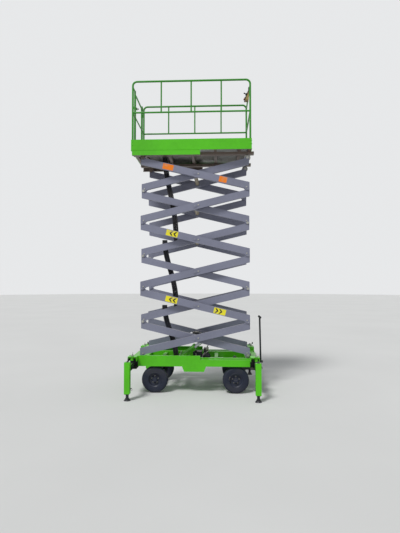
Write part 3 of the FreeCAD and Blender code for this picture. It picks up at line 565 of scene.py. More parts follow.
class Kit(list):
    """The parts of one piece. Each method takes a finish number, then what its mesh helper takes."""

    def turn(self, number, *shape, **more):
        self.append((turned(*shape, **more), number))

    def bolt(self, number, *shape, **more):
        self.append((hex_head(*shape, **more), number))

    def sweep(self, number, *shape):
        self.append((swept(*shape), number))

    def plate(self, number, *shape):
        self.append((plate(*shape), number))

    def block(self, number, *shape):
        self.append((block(*shape), number))


print("a rounded outline has", len(rounded(1, 1, 0.1)), "points")

# %% [markdown]
# ## Tyres
# Each tyre is a small cross-ply with a smooth bulged sidewall and a block tread. The CAD tyre is plain. A
# height field would leave its outline smooth, so the section is turned in many steps, and the grooves are cut
# by lowering the steps that fall in one.

# %% Make the tyres
AROUND, GROOVE, NOTCH = 144, 0.007, 0.004
SHOULDER_R, RIB_R, RIB_Y = 0.2165, 0.2225, 0.022
SECTION_HALF = 0.0685
WALL = [(0.118, 0.057), (0.121, 0.062), (0.127, 0.0645), (0.132, 0.0632), (0.145, 0.0668), (0.165, 0.0682),
        (0.186, 0.0668), (0.190, 0.0672), (0.194, 0.0655), (0.204, 0.061), (0.2135, 0.0555), (0.2185, 0.050)]
TREAD = [(0.2225, 0.046), (0.2245, 0.034), (0.2245, 0.031), (0.2180, 0.029), (0.2180, 0.024), (0.2255, 0.022),
         (0.2260, 0.006), (0.2260, 0.0035), (0.2195, 0.0022)]


def groove_depth(step, r, y):
    """How deep the tread is cut: grooves across its shoulders, and notches in its middle ribs."""
    lean = step + round(y * 60)
    if r <= SHOULDER_R:
        return 0
    if abs(y) > RIB_Y:
        return GROOVE if lean % 6 == 0 else 0
    return NOTCH if lean % 6 == 3 and abs(y) < RIB_Y and r > RIB_R else 0


def tyre(corner, side):
    """One tyre and its wheel nuts; side is the way its outer face looks, -1 on the near side."""
    node, name, body = "tyre_" + corner, corner.replace("_", "-"), "wheel_" + corner
    centre = middle(node)
    low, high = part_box(node)
    radius, half = (high.z - low.z) / 2, (high.y - low.y) / 2
    profile = WALL + TREAD
    profile += [(r, -y) for r, y in reversed(profile)]
    made = bmesh.new()
    rings = []
    for r, y in profile:
        hub = centre + y * half / SECTION_HALF * FAR
        depths = [groove_depth(i, r, y) for i in range(AROUND)]
        rings.append([made.verts.new(hub + spoke(min(r, radius) - depth, 360 * i / AROUND))
                      for i, depth in enumerate(depths)])
    whole = piece("tyre_with_tread_" + name, [(skin(made, rings), 0)], [tyre_rubber_with_painted_sheen], body, angle=28)
    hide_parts(node)

    out = Vector((0, side, 0))
    nuts = Kit()
    for i in range(5):
        nuts.bolt(0, centre + 0.015 * out + spoke(0.054, 72 * i + 18), out, 0.017, 0.013)
    stem = centre + 0.018 * out + spoke(0.095, 200)
    nuts.turn(1, [(0.004, 0), (0.004, 0.022), (0.005, 0.022), (0.005, 0.03)], stem, out, 12)
    piece("wheel_nuts_and_valve_" + name, nuts, [zinc_dark, black_plastic], body)
    return whole


for corner, side in (("rear_near", -1), ("rear_far", 1), ("front_near", -1), ("front_far", 1)):
    made = tyre(corner, side)
    print(made.name, len(made.data.polygons), "faces")

# %% [markdown]
# ## Hose packs
# Three oil and control lines climb the stack in slack hoses, tied at clamps on every second level. Each is
# swept along a gentle curve, with crimped steel ends. A simulation would add little, since the clamps hold it
# nearly straight.

# %% Make the hose packs
HOSE_Y, HOSE_R, HOSE_PITCH, HOSE_STEPS = -0.312, 0.0155, 0.0315, 60
BOW, WAVE = 0.008, 0.004
HOSE_RUNS = [("hoses_1", "chassis", (-0.377, 0.514), (-0.586, 1.460), 0.514),
             ("hoses_2", "inner_4", (-0.389, 1.558), (-0.586, 2.614), 2.614),
             ("hoses_3", "platform", (-0.389, 2.712), (-0.586, 4.149), 4.149)]
FERRULE = [(0.0165, 0), (0.0168, 0.006), (0.0150, 0.009), (0.0166, 0.014), (0.0150, 0.020), (0.0166, 0.026),
           (0.0150, 0.032), (0.0160, 0.040), (0.0148, 0.044)]


def hose(pack, foot, top, shift):
    """One hose: straight out of each clamp, bowed in between, with a ferrule at each end."""
    a, b = Vector((foot[0] + shift, HOSE_Y, foot[1])), Vector((top[0] + shift, HOSE_Y, top[1]))
    points = []
    for i in range(HOSE_STEPS + 1):
        t = i / HOSE_STEPS
        at = a.lerp(b, t)
        at.x = a.x + (b.x - a.x) * (3 * t * t - 2 * t**3) + BOW * math.sin(math.pi * t) ** 2
        at.y += WAVE * math.sin(2 * math.pi * t)
        points.append(at)
    ribs = [1.0 + 0.03 * (i % 2) for i in range(HOSE_STEPS + 1)]
    pack.sweep(0, points, HOSE_R, 14, ribs)
    pack.turn(1, FERRULE, a, UP, 20)
    pack.turn(1, FERRULE, b, -UP, 20)


for node, body, foot, top, anchor_z in HOSE_RUNS:
    pack = Kit()
    for shift in (-HOSE_PITCH, 0, HOSE_PITCH):
        hose(pack, foot, top, shift)
    made = piece(node.replace("_", "-") + "_in_their_clamps", pack, [hose_rubber, zinc_dark], body)
    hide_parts(node)
    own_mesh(made)
    print(made.name, "from z", foot[1], "to", top[1])

# %% [markdown]
# ## Pins, keepers and welds
# Every scissor pin is stopped from turning by a small keeper bolted beside its head, and greased through a
# nipple. The hubs and cross tubes are welded in. A texture could hint at them, but they stand proud and catch
# light, so they are meshed. A loop over the levels places them all from the arm's own geometry.

# %% Fit the keepers and weld beads
KEEPER, HEAD_T, OUTER_WELD, INNER_WELD = 0.030, 0.006, 0.0425, 0.0355


def nipple(at, direction):
    """A grease nipple: its hex foot, neck and ball head."""
    section = [(0.0045, 0), (0.0045, 0.003), (0.0022, 0.0034), (0.0022, 0.005), (0.003, 0.0056),
               (0.003, 0.0068), (0.0016, 0.0078)]
    return turned(section, at, direction, 12)


def keeper(face, along, side):
    """A keeper plate lying on an arm's face, with its bolt."""
    out, across = Vector((0, side, 0)), along.normalized()
    made = plate(rounded(0.036, 0.026, 0.006), HEAD_T, face, across, out.cross(across))
    return [(made, 0), (hex_head(face + out * HEAD_T, out, 0.013, 0.0055), 1)]


def dress_arms(level, outer):
    pair, arm_y = ("outer", OUTER_Y) if outer else ("inner", INNER_Y)
    end = -1 if (level % 2 == 1) == outer else 1
    fittings, welds = [], []
    for side in (-1, 1):
        y = side * (arm_y + TUBE_W / 2)
        out = Vector((0, side, 0))
        pin = along_arm(level, outer, end * arm_half, -PIN_OFF, y)
        beside = along_arm(level, outer, end * (arm_half - KEEPER), KEEPER - PIN_OFF, y)
        fittings += keeper(beside, beside - pin, side) + [(nipple(pin + out * HEAD_T, out), 1)]
        hub = along_arm(level, outer, 0, 0, y)
        if outer:
            beside = along_arm(level, outer, 0.063, 0, y)
            fittings += keeper(beside, beside - hub, side) + [(nipple(hub + out * (HEAD_T + 0.002), out), 1)]
            welds.append((bead(hub, out, OUTER_WELD, 0.003), 0))
        else:
            inner_face = hub - out * TUBE_W
            welds += [(bead(hub, out, INNER_WELD, 0.0035), 0), (bead(inner_face, out, INNER_WELD, 0.0045), 0)]
    body = "%s_%d" % (pair, level)
    piece("pin_keepers_" + body, fittings, [arm_paint, zinc], body)
    piece("hub_welds_" + body, welds, [arm_paint], body)


for level in range(1, LEVELS + 1):
    dress_arms(level, True)
    dress_arms(level, False)
print("keepers and welds on", LEVELS, "levels")

# %% [markdown]
# ## Lines that bend
# Pipes, handles and springs all follow a smooth line through a few points. Each of these could be a curve
# object with a bevel, but one short function for the line, and swept() for the skin, keeps them plain meshes.

# %% Write the smooth line


def smooth(points, steps=8):
    """A line that passes through all the points without a corner."""
    points = [Vector(p) for p in points]
    ends = [2 * points[0] - points[1]] + points + [2 * points[-1] - points[-2]]
    line = []
    for a, b, c, d in zip(ends, ends[1:], ends[2:], ends[3:]):
        for i in range(steps):
            t = i / steps
            line.append(0.5 * (2 * b + (c - a) * t + (2 * a - 5 * b + 4 * c - d) * t**2
                               + (3 * b - a - 3 * c + d) * t**3))
    return line + [points[-1]]


def ring_line(at, axis, ring_radius):
    """The closed line of a wire ring, such as a pull ring."""
    turn = frame_for(axis)
    return [Vector(at) + turn @ spoke(ring_radius, 360 * i / 32, flat=True) for i in range(33)]


print("a line through 3 points has", len(smooth([(0, 0, 0), (1, 0, 0), (1, 1, 0)])), "points")

# %% [markdown]
# ## The motor
# A small electric motor drives the oil pump, low between the side channels. The CAD has its round body. Cast
# fins and end bells give it its look, and they stand too proud for a bump, so each fin is a thin turned disc.

# %% Fin the motor
power_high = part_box("power_unit")[1]
MOTOR, MOTOR_R, BELL_Y = Vector((power_high.x - 0.150, 0, 0.540)), 0.062, 0.091
FIN = [(MOTOR_R - 0.004, 0), (MOTOR_R + 0.006, 0.0006), (MOTOR_R + 0.006, 0.0030), (MOTOR_R - 0.004, 0.0036)]
BELL = [(0.058, 0), (0.058, 0.004), (0.046, 0.009), (0.020, 0.011), (0.019, 0.015), (0.008, 0.016)]

motor = Kit()
for i in range(13):
    motor.turn(0, FIN, MOTOR + (0.011 * i - 0.070) * FAR, FAR, 48)
for out in (NEAR, FAR):
    motor.turn(0, BELL, MOTOR + BELL_Y * out, out, 40)
    for i in range(4):
        motor.bolt(1, MOTOR + (BELL_Y + 0.004) * out + spoke(0.048, 45 + 90 * i), out, 0.010, 0.006)
piece("motor_fins_and_end_bells", motor, [black_paint, zinc_dark], "chassis")
print("motor with", len(motor), "parts")

# %% [markdown]
# ## The valve block
# The block on the motor carries two valve coils, a gauge and a hand pump. They are small, so the CAD leaves
# them out, and all of them stay below the first cross tube's lowest place. The gauge's marks and needle could
# be drawn in its material, but as thin plates they keep their edges at any size.

# %% Build the valve block
BLOCK_TOP, COIL_X, GAUGE_X, PUMP_Y = 0.648, MOTOR.x - 0.030, MOTOR.x + 0.014, 0.036
PORTS = [(MOTOR.x - 0.038, -0.055, 0.612), (MOTOR.x + 0.012, -0.055, 0.634),
         (MOTOR.x - 0.038, 0.055, 0.612), (MOTOR.x + 0.012, 0.055, 0.634)]
COIL = [(0.017, 0), (0.0185, 0.002), (0.0185, 0.036), (0.0170, 0.039), (0.009, 0.040), (0.009, 0.054),
        (0.007, 0.057)]
CASE = [(0.020, 0), (0.0255, 0.003), (0.0265, 0.020), (0.0255, 0.0225), (0.0228, 0.0225), (0.0226, 0.0195)]
PUMP = [(0.016, 0), (0.017, 0.003), (0.017, 0.055), (0.012, 0.058), (0.008, 0.058), (0.008, 0.082)]

valves = Kit()
valves.block(0, (MOTOR.x - 0.052, -0.055, 0.600), (MOTOR.x + 0.030, 0.055, BLOCK_TOP))
for y in (-0.032, 0.032):
    seat = Vector((COIL_X, y, BLOCK_TOP))
    valves.turn(1, COIL, seat, UP, 28)
    valves.bolt(2, seat + 0.040 * UP, UP, 0.022, 0.007, washer=False)
    valves.block(1, seat + Vector((-0.026, -0.011, 0.010)), seat + Vector((-0.011, 0.011, 0.034)), 0.002)
for port in PORTS:
    valves.bolt(2, port, (0, port[1], 0), 0.016, 0.010, washer=False)

gauge = Vector((GAUGE_X, -0.030, BLOCK_TOP + 0.044))
valves.turn(3, [(0.006, 0), (0.006, 0.012), (0.009, 0.013), (0.009, 0.020)],
            (GAUGE_X, -0.020, BLOCK_TOP), UP, 6)
valves.turn(1, CASE, gauge + 0.020 * FAR, NEAR, 40)
valves.turn(4, [(0.0225, 0), (0.0225, 0.0004)], gauge + 0.0004 * FAR, NEAR, 40)
for i in range(11):
    tick = spoke(1, 225 - 27 * i)
    valves.plate(1, [(-0.0004, 0), (0.0004, 0), (0.0004, 0.004), (-0.0004, 0.004)], 0.0002,
                 gauge + 0.0002 * NEAR + tick * 0.0165, tick.cross(NEAR), tick)
needle = spoke(1, 150)
valves.plate(5, [(-0.0007, -0.004), (0.0007, -0.004), (0.0003, 0.014), (-0.0003, 0.014)], 0.0003,
             gauge + 0.0006 * NEAR, needle.cross(NEAR), needle)
valves.turn(0, PUMP, (GAUGE_X, PUMP_Y, BLOCK_TOP), UP, 24)
valves.sweep(2, smooth([(GAUGE_X, PUMP_Y, 0.722), (GAUGE_X + 0.012, 0.040, 0.728),
                        (GAUGE_X + 0.020, 0.060, 0.730), (GAUGE_X + 0.020, 0.088, 0.730)]), 0.006, 12)
piece("valve_block_with_gauge_and_hand_pump", valves,
      [black_paint, black_plastic, zinc, brass, dial_white, red_plastic], "chassis")
print("valve block with", len(valves), "parts, its gauge at", [round(c, 3) for c in gauge])

# %% [markdown]
# ## Tank and pipes
# The oil tank has a breather cap and a level window, and three steel pipes join it to the block. Each pipe
# could be straight lengths and elbows, but small pipe is bent, not joined, so each is one smooth sweep.

# %% Fit the tank and pipes
TANK_X0, TANK_X1, TANK_TOP = power_high.x - 0.395, power_high.x - 0.235, power_high.z - 0.012

pipes = Kit()
for x, y, z in (PORTS[0], PORTS[1], PORTS[3]):
    side, drop = (1 if y > 0 else -1), (0.012 if z > 0.62 else 0)
    pipes.sweep(0, smooth([(x, y + side * 0.010, z), (x, y + side * 0.026, z),
                           (x - 0.012, y + side * 0.034, z - 0.012),
                           (TANK_X1 + 0.020 - drop, y + side * 0.034, 0.560),
                           (TANK_X1 + 0.004, y + side * 0.026, 0.530 + drop)]), 0.0048, 12)
piece("oil_pipes_of_the_power_pack", pipes, [zinc], "chassis")

tank = Kit()
window = Vector((TANK_X0 + 0.055, -0.095, 0.560))
tank.turn(0, [(0.0225, 0), (0.0245, 0.002), (0.0245, 0.012), (0.0225, 0.0145), (0.010, 0.0155)],
          (TANK_X0 + 0.050, -0.050, TANK_TOP + 0.003), UP, 24)
tank.plate(0, rounded(0.022, 0.090, 0.008), 0.004, window, FORE, UP)
tank.plate(1, rounded(0.010, 0.060, 0.004), 0.0015, window + 0.004 * NEAR, FORE, UP)
for z in (-0.039, 0.039):
    tank.bolt(2, window + 0.004 * NEAR + z * UP, NEAR, 0.007, 0.004)
for x in (TANK_X0 + 0.012, TANK_X1 - 0.012):
    for y in (-0.080, 0.080):
        tank.bolt(2, (x, y, TANK_TOP), UP, 0.010, 0.006)
piece("tank_cap_and_level_window", tank, [black_plastic, dial_white, zinc], "chassis")
print("tank from x", round(TANK_X0, 3), "to", round(TANK_X1, 3))

# %% [markdown]
# ## Flow valve on the first cross tube
# In the photograph a dark block with a bright round end sits on the lowest cross tube. It is taken for the
# lowering valve. It rides with the lowest inner arms, and stays low enough for the next cross tube to come
# down over it when the stack folds.

# %% Make the flow valve
tube_at = Vector((mid_x, 0, level_z[0]))
BODY_TOP = 0.066


def by_tube(x, y, z):
    return tube_at + Vector((x, y, z))


flow = Kit()
flow.block(0, by_tube(-0.062, -0.085, -0.014), by_tube(0.050, 0.085, BODY_TOP), 0.005)
flow.block(0, by_tube(0.048, -0.060, -0.010), by_tube(0.096, 0.060, 0.050), 0.004)
for y in (-0.045, 0.0, 0.045):
    flow.turn(1, [(0.013, 0), (0.013, 0.006), (0.009, 0.008), (0.009, 0.011)],
              by_tube(-0.006, y, BODY_TOP), UP, 6)
flow.turn(2, [(0.020, 0), (0.030, 0.002), (0.031, 0.008), (0.031, 0.170), (0.029, 0.176), (0.018, 0.178)],
          by_tube(-0.093, 0.090, 0.026), NEAR, 40)
flow.sweep(1, ring_line(by_tube(-0.093, -0.088, 0.026), FAR, 0.022), 0.003, 8)
for y in (-0.040, 0.040):
    flow.sweep(3, smooth([by_tube(0.094, y, 0.022), by_tube(0.115, y, 0.024), by_tube(0.130, y * 1.3, 0.010),
                          by_tube(0.136, y * 1.9, -0.012)]), 0.007, 12)
    flow.bolt(1, by_tube(0.096, y, 0.022), FORE, 0.022, 0.012, washer=False)
    for x in (-0.050, 0.036):
        flow.sweep(1, [by_tube(x, y * 1.9, -0.012), by_tube(x, y * 1.9, -0.030)], 0.004, 8)
piece("flow_valve_on_cross_tube", flow, [black_paint, zinc, chrome, hose_rubber], "inner_1")
print("flow valve top at", round(tube_at.z + BODY_TOP + 0.011, 3), "over a tube at", round(tube_at.z, 3))

# %% [markdown]
# ## Lift cylinders
# Each barrel ends in a screwed gland with spanner holes and a soft wiper against the rod, and has a port with
# an elbow near its foot. The box of a leaning cylinder doesn't give its line, so that is drawn here from the
# foot pin in the chassis to the lug under the first cross tube, and everything is turned about it.

# %% Dress the cylinders
CYL_Y = 0.150
cyl_foot = Vector((PIN_X + 0.5833, 0, PIN_Z - 0.1587))
cyl_way = (by_tube(0.1795, 0, -0.0494) - cyl_foot).normalized()
cyl_up = Vector((-cyl_way.z, 0, cyl_way.x))
GLAND = [(0.040, 0), (0.0462, 0.002), (0.0462, 0.030), (0.043, 0.034), (0.030, 0.035)]
WIPER = [(0.0262, 0), (0.0275, 0.002), (0.0240, 0.006), (0.0226, 0.0065)]

glands, wipers = Kit(), Kit()
for side in (-1, 1):
    foot = cyl_foot + side * CYL_Y * FAR
    glands.turn(0, GLAND, foot + cyl_way * 0.368, cyl_way, 40)
    for i in range(6):
        a = math.radians(60 * i)
        out = cyl_up * math.cos(a) + FAR * math.sin(a)
        glands.turn(1, [(0.004, 0), (0.004, 0.0006)], foot + cyl_way * 0.384 + out * 0.0460, out, 10)
    wipers.turn(0, WIPER, foot + cyl_way * 0.402, cyl_way, 32, ends=False)
    port = foot + cyl_way * 0.095 + cyl_up * 0.037
    glands.turn(0, [(0.013, 0), (0.013, 0.012), (0.011, 0.013)], port, cyl_up, 24)
    elbow = [port + cyl_up * up + cyl_way * on
             for up, on in ((0.010, 0), (0.022, 0), (0.030, 0.008), (0.032, 0.024))]
    glands.sweep(1, smooth(elbow), 0.0075, 14)
    glands.bolt(1, port + cyl_up * 0.013, cyl_up, 0.022, 0.008, washer=False)
    glands.bolt(1, elbow[-1], cyl_way, 0.020, 0.010, washer=False)
piece("cylinder_glands_and_ports", glands, [green_paint, zinc], "barrels")
piece("cylinder_wipers", wipers, [grip_rubber], "barrels")
print("cylinders lean", round(math.degrees(math.asin(cyl_way.z)), 1), "degrees")

# %% [markdown]
# ## Outriggers
# A jack's screw is wound by a small crank on top of its sleeve, with a black knob. A pull ring locks each
# swing arm in its end beam, and a capped bolt holds the hinge pin. The front cranks point outward, as
# photographed. The four legs differ only in the way they face, so one function dresses them all.

# %% Dress the outriggers
CRANK, LOCK_Z, HINGE_IN = 0.060, 0.190, 0.038
HUB = [(0.024, 0), (0.024, 0.004), (0.014, 0.006), (0.010, 0.007), (0.010, 0.012)]
KNOB = [(0.006, 0), (0.0085, 0.003), (0.0115, 0.012), (0.0120, 0.022), (0.0100, 0.030), (0.0045, 0.034)]
LOCK = [(0.012, 0), (0.012, 0.012), (0.008, 0.014), (0.008, 0.022), (0.0105, 0.023), (0.0105, 0.028)]
PULL = [(0.014, 0), (0.014, 0.010), (0.010, 0.013), (0.010, 0.026), (0.013, 0.027), (0.013, 0.032)]


def dress_leg(end, word):
    name = "%s_%s" % (end, word)
    front, side = end == "front", -1 if word == "near" else 1
    low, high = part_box("outrigger_" + name)
    jack = middle("jack_" + name)
    top = Vector((jack.x, jack.y, high.z))
    way = FORE if front else -side * FAR
    crank = Kit()
    crank.turn(0, HUB, top, UP, 28)
    crank.plate(0, rounded(CRANK + 0.020, 0.018, 0.008), 0.006, top + way * (CRANK / 2) + 0.010 * UP,
                way, UP.cross(way))
    crank.bolt(0, top + 0.016 * UP, UP, 0.017, 0.008)
    crank.turn(1, KNOB, top + way * CRANK + 0.0155 * UP, UP, 24)
    inward = -FORE if front else FORE
    lock = Vector((jack.x, jack.y, LOCK_Z)) + inward * (0.046 if front else 0.045)
    crank.turn(0, LOCK, lock, inward, 20)
    crank.sweep(0, ring_line(lock + inward * 0.025 - 0.016 * UP, FAR, 0.015), 0.0018, 8)
    piece("jack_crank_" + name, crank, [zinc_dark, black_plastic], "outrigger_" + name)

    hinge_y = low.y + HINGE_IN if side > 0 else high.y - HINGE_IN
    hinge = Vector((jack.x, hinge_y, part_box("end_beam_" + end)[1].z))
    pull = hinge - side * 0.062 * FAR - 0.008 * UP
    caps = Kit([(hex_head(hinge, UP, 0.030, 0.012), 0), (nipple(hinge + 0.012 * UP, UP), 0)])
    caps.turn(0, PULL, pull, UP, 24)
    caps.sweep(0, ring_line(pull + 0.046 * UP, FORE, 0.016), 0.002, 8)
    piece("hinge_cap_and_pull_ring_" + name, caps, [zinc], "chassis")


for end in ("rear", "front"):
    for word in ("near", "far"):
        dress_leg(end, word)
print("four legs dressed")

# %% [markdown]
# ## Turntable, kingpin and tow bar
# The front axle steers on a ring of bolts, greased at the kingpin. The tow bar is parked upright, with ribbed
# rubber grips on its cross handle. The grips are turned in one go, because a rib is only a change of radius.

# %% Dress the running gear
TURN_R, TURN_Z, HANDLE_BACK, PIN_IN = 0.168, 0.468, 0.018, 0.026
axle_x, king_top = middle("rim_front_near").x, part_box("axle_front")[1].z
bolts = Kit()
for i in range(12):
    bolts.bolt(0, Vector((axle_x, 0, TURN_Z)) + spoke(TURN_R, 30 * i + 15, flat=True), UP, 0.018, 0.012)
piece("turntable_bolts", bolts, [zinc_dark], "chassis")

nut = [(hex_head((axle_x, 0, king_top - 0.001), UP, 0.046, 0.020, washer=False), 0),
       (nipple((axle_x, 0, king_top + 0.019), UP), 1)]
piece("kingpin_nut", nut, [zinc_dark, brass], "front_axle")

bar_low, bar_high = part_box("tow_bar")
handle = Vector((bar_high.x - PIN_IN - HANDLE_BACK, 0, bar_high.z - 0.017))
GRIP_L = 0.090
GRIP = [(0.0172, 0), (0.0205, 0.003), (0.0205, 0.007)]
for i in range(9):
    GRIP += [(0.0182, 0.010 + 0.008 * i), (0.0195, 0.012 + 0.008 * i), (0.0195, 0.015 + 0.008 * i)]
GRIP += [(0.0190, 0.086), (0.0150, 0.0885), (0.004, 0.0890)]
grips, pins = Kit(), Kit()
for out in (NEAR, FAR):
    grips.turn(0, GRIP, handle + (bar_high.y - GRIP_L) * out, out, 28)
    pins.bolt(0, Vector((bar_high.x - PIN_IN, 0, bar_low.z + PIN_IN)) + 0.048 * out, out, 0.018, 0.008)
piece("tow_bar_grips", grips, [grip_rubber], "tow_bar")
piece("tow_bar_hinge_nuts", pins, [zinc], "front_axle")
print("turntable bolts on a circle of", 2 * TURN_R, "m")

# %% [markdown]
# ## Decals on the arms
# Yellow patches with black arrowheads point to the fork pockets, and two plain orange patches mark the top
# level. They are vinyl on steel, less than half a millimetre thick. Colour alone could mark them, but a thin
# plate laid on the arm's face gives them their crisp edge.

# %% Make the decals
VINYL_T, PATCH_H = 0.0004, 0.100
ARROW_PITCH, ARROW_W, ARROW_T = 0.068, 0.036, 0.030


def vinyl(name, colour):
    finish = Finish(name, {"Specular IOR Level": 0.4})
    wide, fine = cloud(finish, 0.05, 5), cloud(finish, 0.004, 3)
    scuffed = ease(finish, wide, 0.5, 0.72)
    base = blend_colour(finish, scuffed * 0.45, colour, shade(DUST, 0.95))
    return finish.feed(base_color=base, roughness=0.32 + 0.3 * scuffed, normal=bump(finish, fine, 0.00008))


yellow_vinyl = vinyl("yellow_vinyl", rgb(236, 224, 40))
orange_vinyl = vinyl("orange_vinyl", rgb(240, 128, 22))
black_vinyl = vinyl("black_vinyl", rgb(30, 30, 32))


def arrowhead(x, way):
    """An arrowhead's outline about x; way is -1 or +1 for the way it points."""
    h, t, w = PATCH_H * 0.38, ARROW_T / 2, ARROW_W * way / 2
    outline = [(x - w - t, h), (x - w + t, h), (x + w + t, 0),
               (x - w + t, -h), (x - w - t, -h), (x + w - t, 0)]
    return outline if way > 0 else outline[::-1]


def decal(level, run, length, way):
    """way is -1 or +1 for the way its arrowheads point, or 0 for a plain patch."""
    y = -(OUTER_Y + TUBE_W / 2)
    at = along_arm(level, True, run, 0, y)
    ahead = along_arm(level, True, run + 0.1, 0, y) - at
    up = along_arm(level, True, run, 0.1, y) - at
    parts = Kit()
    parts.plate(0, rounded(length, PATCH_H, 0.006), VINYL_T, at, ahead, up)
    for shift in (-0.5, 0.5) if way else ():
        outline = arrowhead(shift * ARROW_PITCH - 0.02 * way, way)
        parts.plate(1, outline, VINYL_T, at + VINYL_T * NEAR, ahead, up)
    name = "decal_level_%d_%s" % (level, "left" if run < 0 else "right")
    finishes = [yellow_vinyl if way else orange_vinyl, black_vinyl]
    return piece(name, parts, finishes, "outer_%d" % level)


for level, run, length, way in ((6, -0.484, 0.19, 0), (6, 0.505, 0.14, 0), (4, -0.409, 0.21, -1),
                                (2, -0.418, 0.21, -1), (2, 0.443, 0.21, 1)):
    print(decal(level, run, length, way).name)

# %% [markdown]
# ## Platform fittings
# The tread plate is screwed down along its joists, and the rail posts are bolted through the toe boards. The
# rails' uprights are welded, with a small bead at each joint. All of them repeat at stations taken from the
# platform's own length, so they stay on the joists and posts that carry them.

# %% Screw and bolt the platform
POST_BOLTS_Z, MID_RAIL, RAIL_R, END_POST_Y = (4.292, 4.352), 4.870, 0.017, 0.19
deck_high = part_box("platform_deck")[1]
toe_low, toe_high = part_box("toe_boards")
rail_low, rail_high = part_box("guard_rails")
rail_x0, rail_x1, rail_y = rail_low.x + 0.023, rail_high.x - RAIL_R, rail_high.y - RAIL_R
plat_x0, plat_l = toe_low.x + 0.003, toe_high.x - toe_low.x - 0.006

screws = Kit()
for x in [PIN_X, deck_high.x - 0.026] + [plat_x0 + share * plat_l for share in (0.3, 0.5, 0.7, 0.9)]:
    for y in (-0.50, -0.30, -0.10, 0.10, 0.30, 0.50):
        screws.turn(0, [(0.0075, 0), (0.0072, 0.0008), (0.0050, 0.0016), (0.0026, 0.0019)],
                    (x, y, deck_high.z), UP, 16)
piece("deck_screws", screws, [zinc], "platform")

posts = [((x, side * (toe_high.y - 0.003)), (0, side, 0)) for x in (rail_x0, rail_x1) for side in (-1, 1)]
posts += [((toe_high.x - 0.003, y), (1, 0, 0))
          for y in (rail_y - 0.002, 0.002 - rail_y, -END_POST_Y, END_POST_Y)]
post_bolts = Kit()
for (x, y), out in posts:
    for z in POST_BOLTS_Z:
        post_bolts.bolt(0, (x, y, z), out, 0.013, 0.007)
piece("rail_post_bolts", post_bolts, [green_paint], "platform")

welds = []
for side in (-1, 1):
    for share in (0.25, 0.5, 0.75):
        for z in (MID_RAIL + 0.0145, rail_high.z - RAIL_R - 0.0165):
            at = (plat_x0 + share * plat_l, side * rail_y, z)
            welds.append((bead(at, UP, 0.0135, 0.0028, 24), 0))
    for x in (rail_x0 + 0.0165, rail_x1 - 0.0165):
        welds.append((bead((x, side * rail_y, MID_RAIL), FORE, 0.0155, 0.0028, 24), 0))
piece("rail_welds", welds, [rail_paint_with_painted_shade], "platform")
print(len(screws), "deck screws,", len(post_bolts), "post bolts,", len(welds), "welds")

# %% [markdown]
# ## Gate
# The entrance gate swings on two sleeves round its post. A coil spring above the upper sleeve closes it, and
# a spring bolt with a small knob catches behind the keeper. A stack of rings would look like a spring from
# afar, but a thin wire swept along a helix is one, and takes no more code.

# %% Dress the gate
GATE_POST_Y, SPRING_Z, LATCH_Z = 0.340, 5.178, 5.040
TURNS, COIL_PITCH = 7, 0.009
post = Vector((rail_x0, GATE_POST_Y, SPRING_Z))
wire = [post + spoke(0.0205, 15 * i, flat=True) + COIL_PITCH * i / 24 * UP for i in range(24 * TURNS + 1)]
tip = wire[-1]
wire += smooth([tip, tip + Vector((0.004, -0.02, 0.004)), tip + Vector((-0.002, -0.046, 0.002))])
piece("gate_spring", [(swept(wire, 0.0022, 8), 0)], [zinc_dark], "platform")

catch = Vector((rail_x0 + 0.020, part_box("gate")[0].y + 0.034, LATCH_Z))
latch = Kit()
latch.block(0, catch + Vector((-0.008, -0.020, -0.018)), catch + Vector((0.010, 0.030, 0.018)), 0.003)
latch.turn(1, [(0.007, 0), (0.007, 0.030), (0.005, 0.032)], catch + Vector((0.001, -0.018, 0)), NEAR, 20)
latch.turn(2, [(0.0045, 0), (0.0045, 0.012), (0.010, 0.014), (0.0115, 0.020), (0.009, 0.026)],
           catch + Vector((0.010, 0.012, 0)), FORE, 20)
for y, z in ((-0.014, 0.012), (0.024, -0.012), (-0.014, -0.012), (0.024, 0.012)):
    latch.bolt(1, catch + Vector((0.010, y, z)), FORE, 0.005, 0.003, washer=False)
piece("gate_latch", latch, [rail_paint_with_painted_shade, zinc, black_plastic], "gate")
print("gate spring has", TURNS, "turns")

# %% [markdown]
# ## Upper control box
# The controls hang from the front end rail: a tan box whose black lid slopes towards the operator. The CAD
# has a plain block there. Seen from the side, the photograph shows the lid as one slanting dark line. The
# block could be kept with a lid laid on it, but it would show behind, so a wedge takes its place.

# %% Make the box
BOX_X, BOX_Z, BOX_Y, HOOK_Z, LID_T = 0.080, 0.160, 0.059, 5.340, 0.012
box_low, box_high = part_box("control_box")
y_mid = (box_low.y + box_high.y) / 2
back, over = box_low.x + BOX_X, box_low.z + BOX_Z
lid_foot = Vector((box_low.x + 0.014, y_mid, box_low.z + 0.002))
lid_head = Vector((back - 0.004, y_mid, over - 0.004))
lid_mid, lid_up = (lid_foot + lid_head) / 2, (lid_head - lid_foot).normalized()
lid_out = NEAR.cross(lid_up)

control = Kit()
wedge = [(lid_foot.x + 0.003, box_low.z + 0.004), (back, box_low.z + 0.004), (back, over - 0.006),
         (lid_head.x - 0.002, over - 0.006)]
control.plate(0, wedge, 2 * BOX_Y, (0, y_mid + BOX_Y, 0), FORE, UP)
control.plate(1, rounded(0.128, 0.168, 0.010), LID_T, lid_mid, NEAR, lid_up)
control.block(1, (back - 0.005, y_mid - 0.040, over - 0.030), (back, y_mid + 0.040, HOOK_Z + 0.005), 0.001)
control.block(1, (back - 0.005, y_mid - 0.040, HOOK_Z + 0.0006),
              (box_high.x, y_mid + 0.040, HOOK_Z + 0.005), 0.001)
print("lid slopes", round(math.degrees(math.atan2(lid_up.x, lid_up.z)), 1), "degrees from upright")

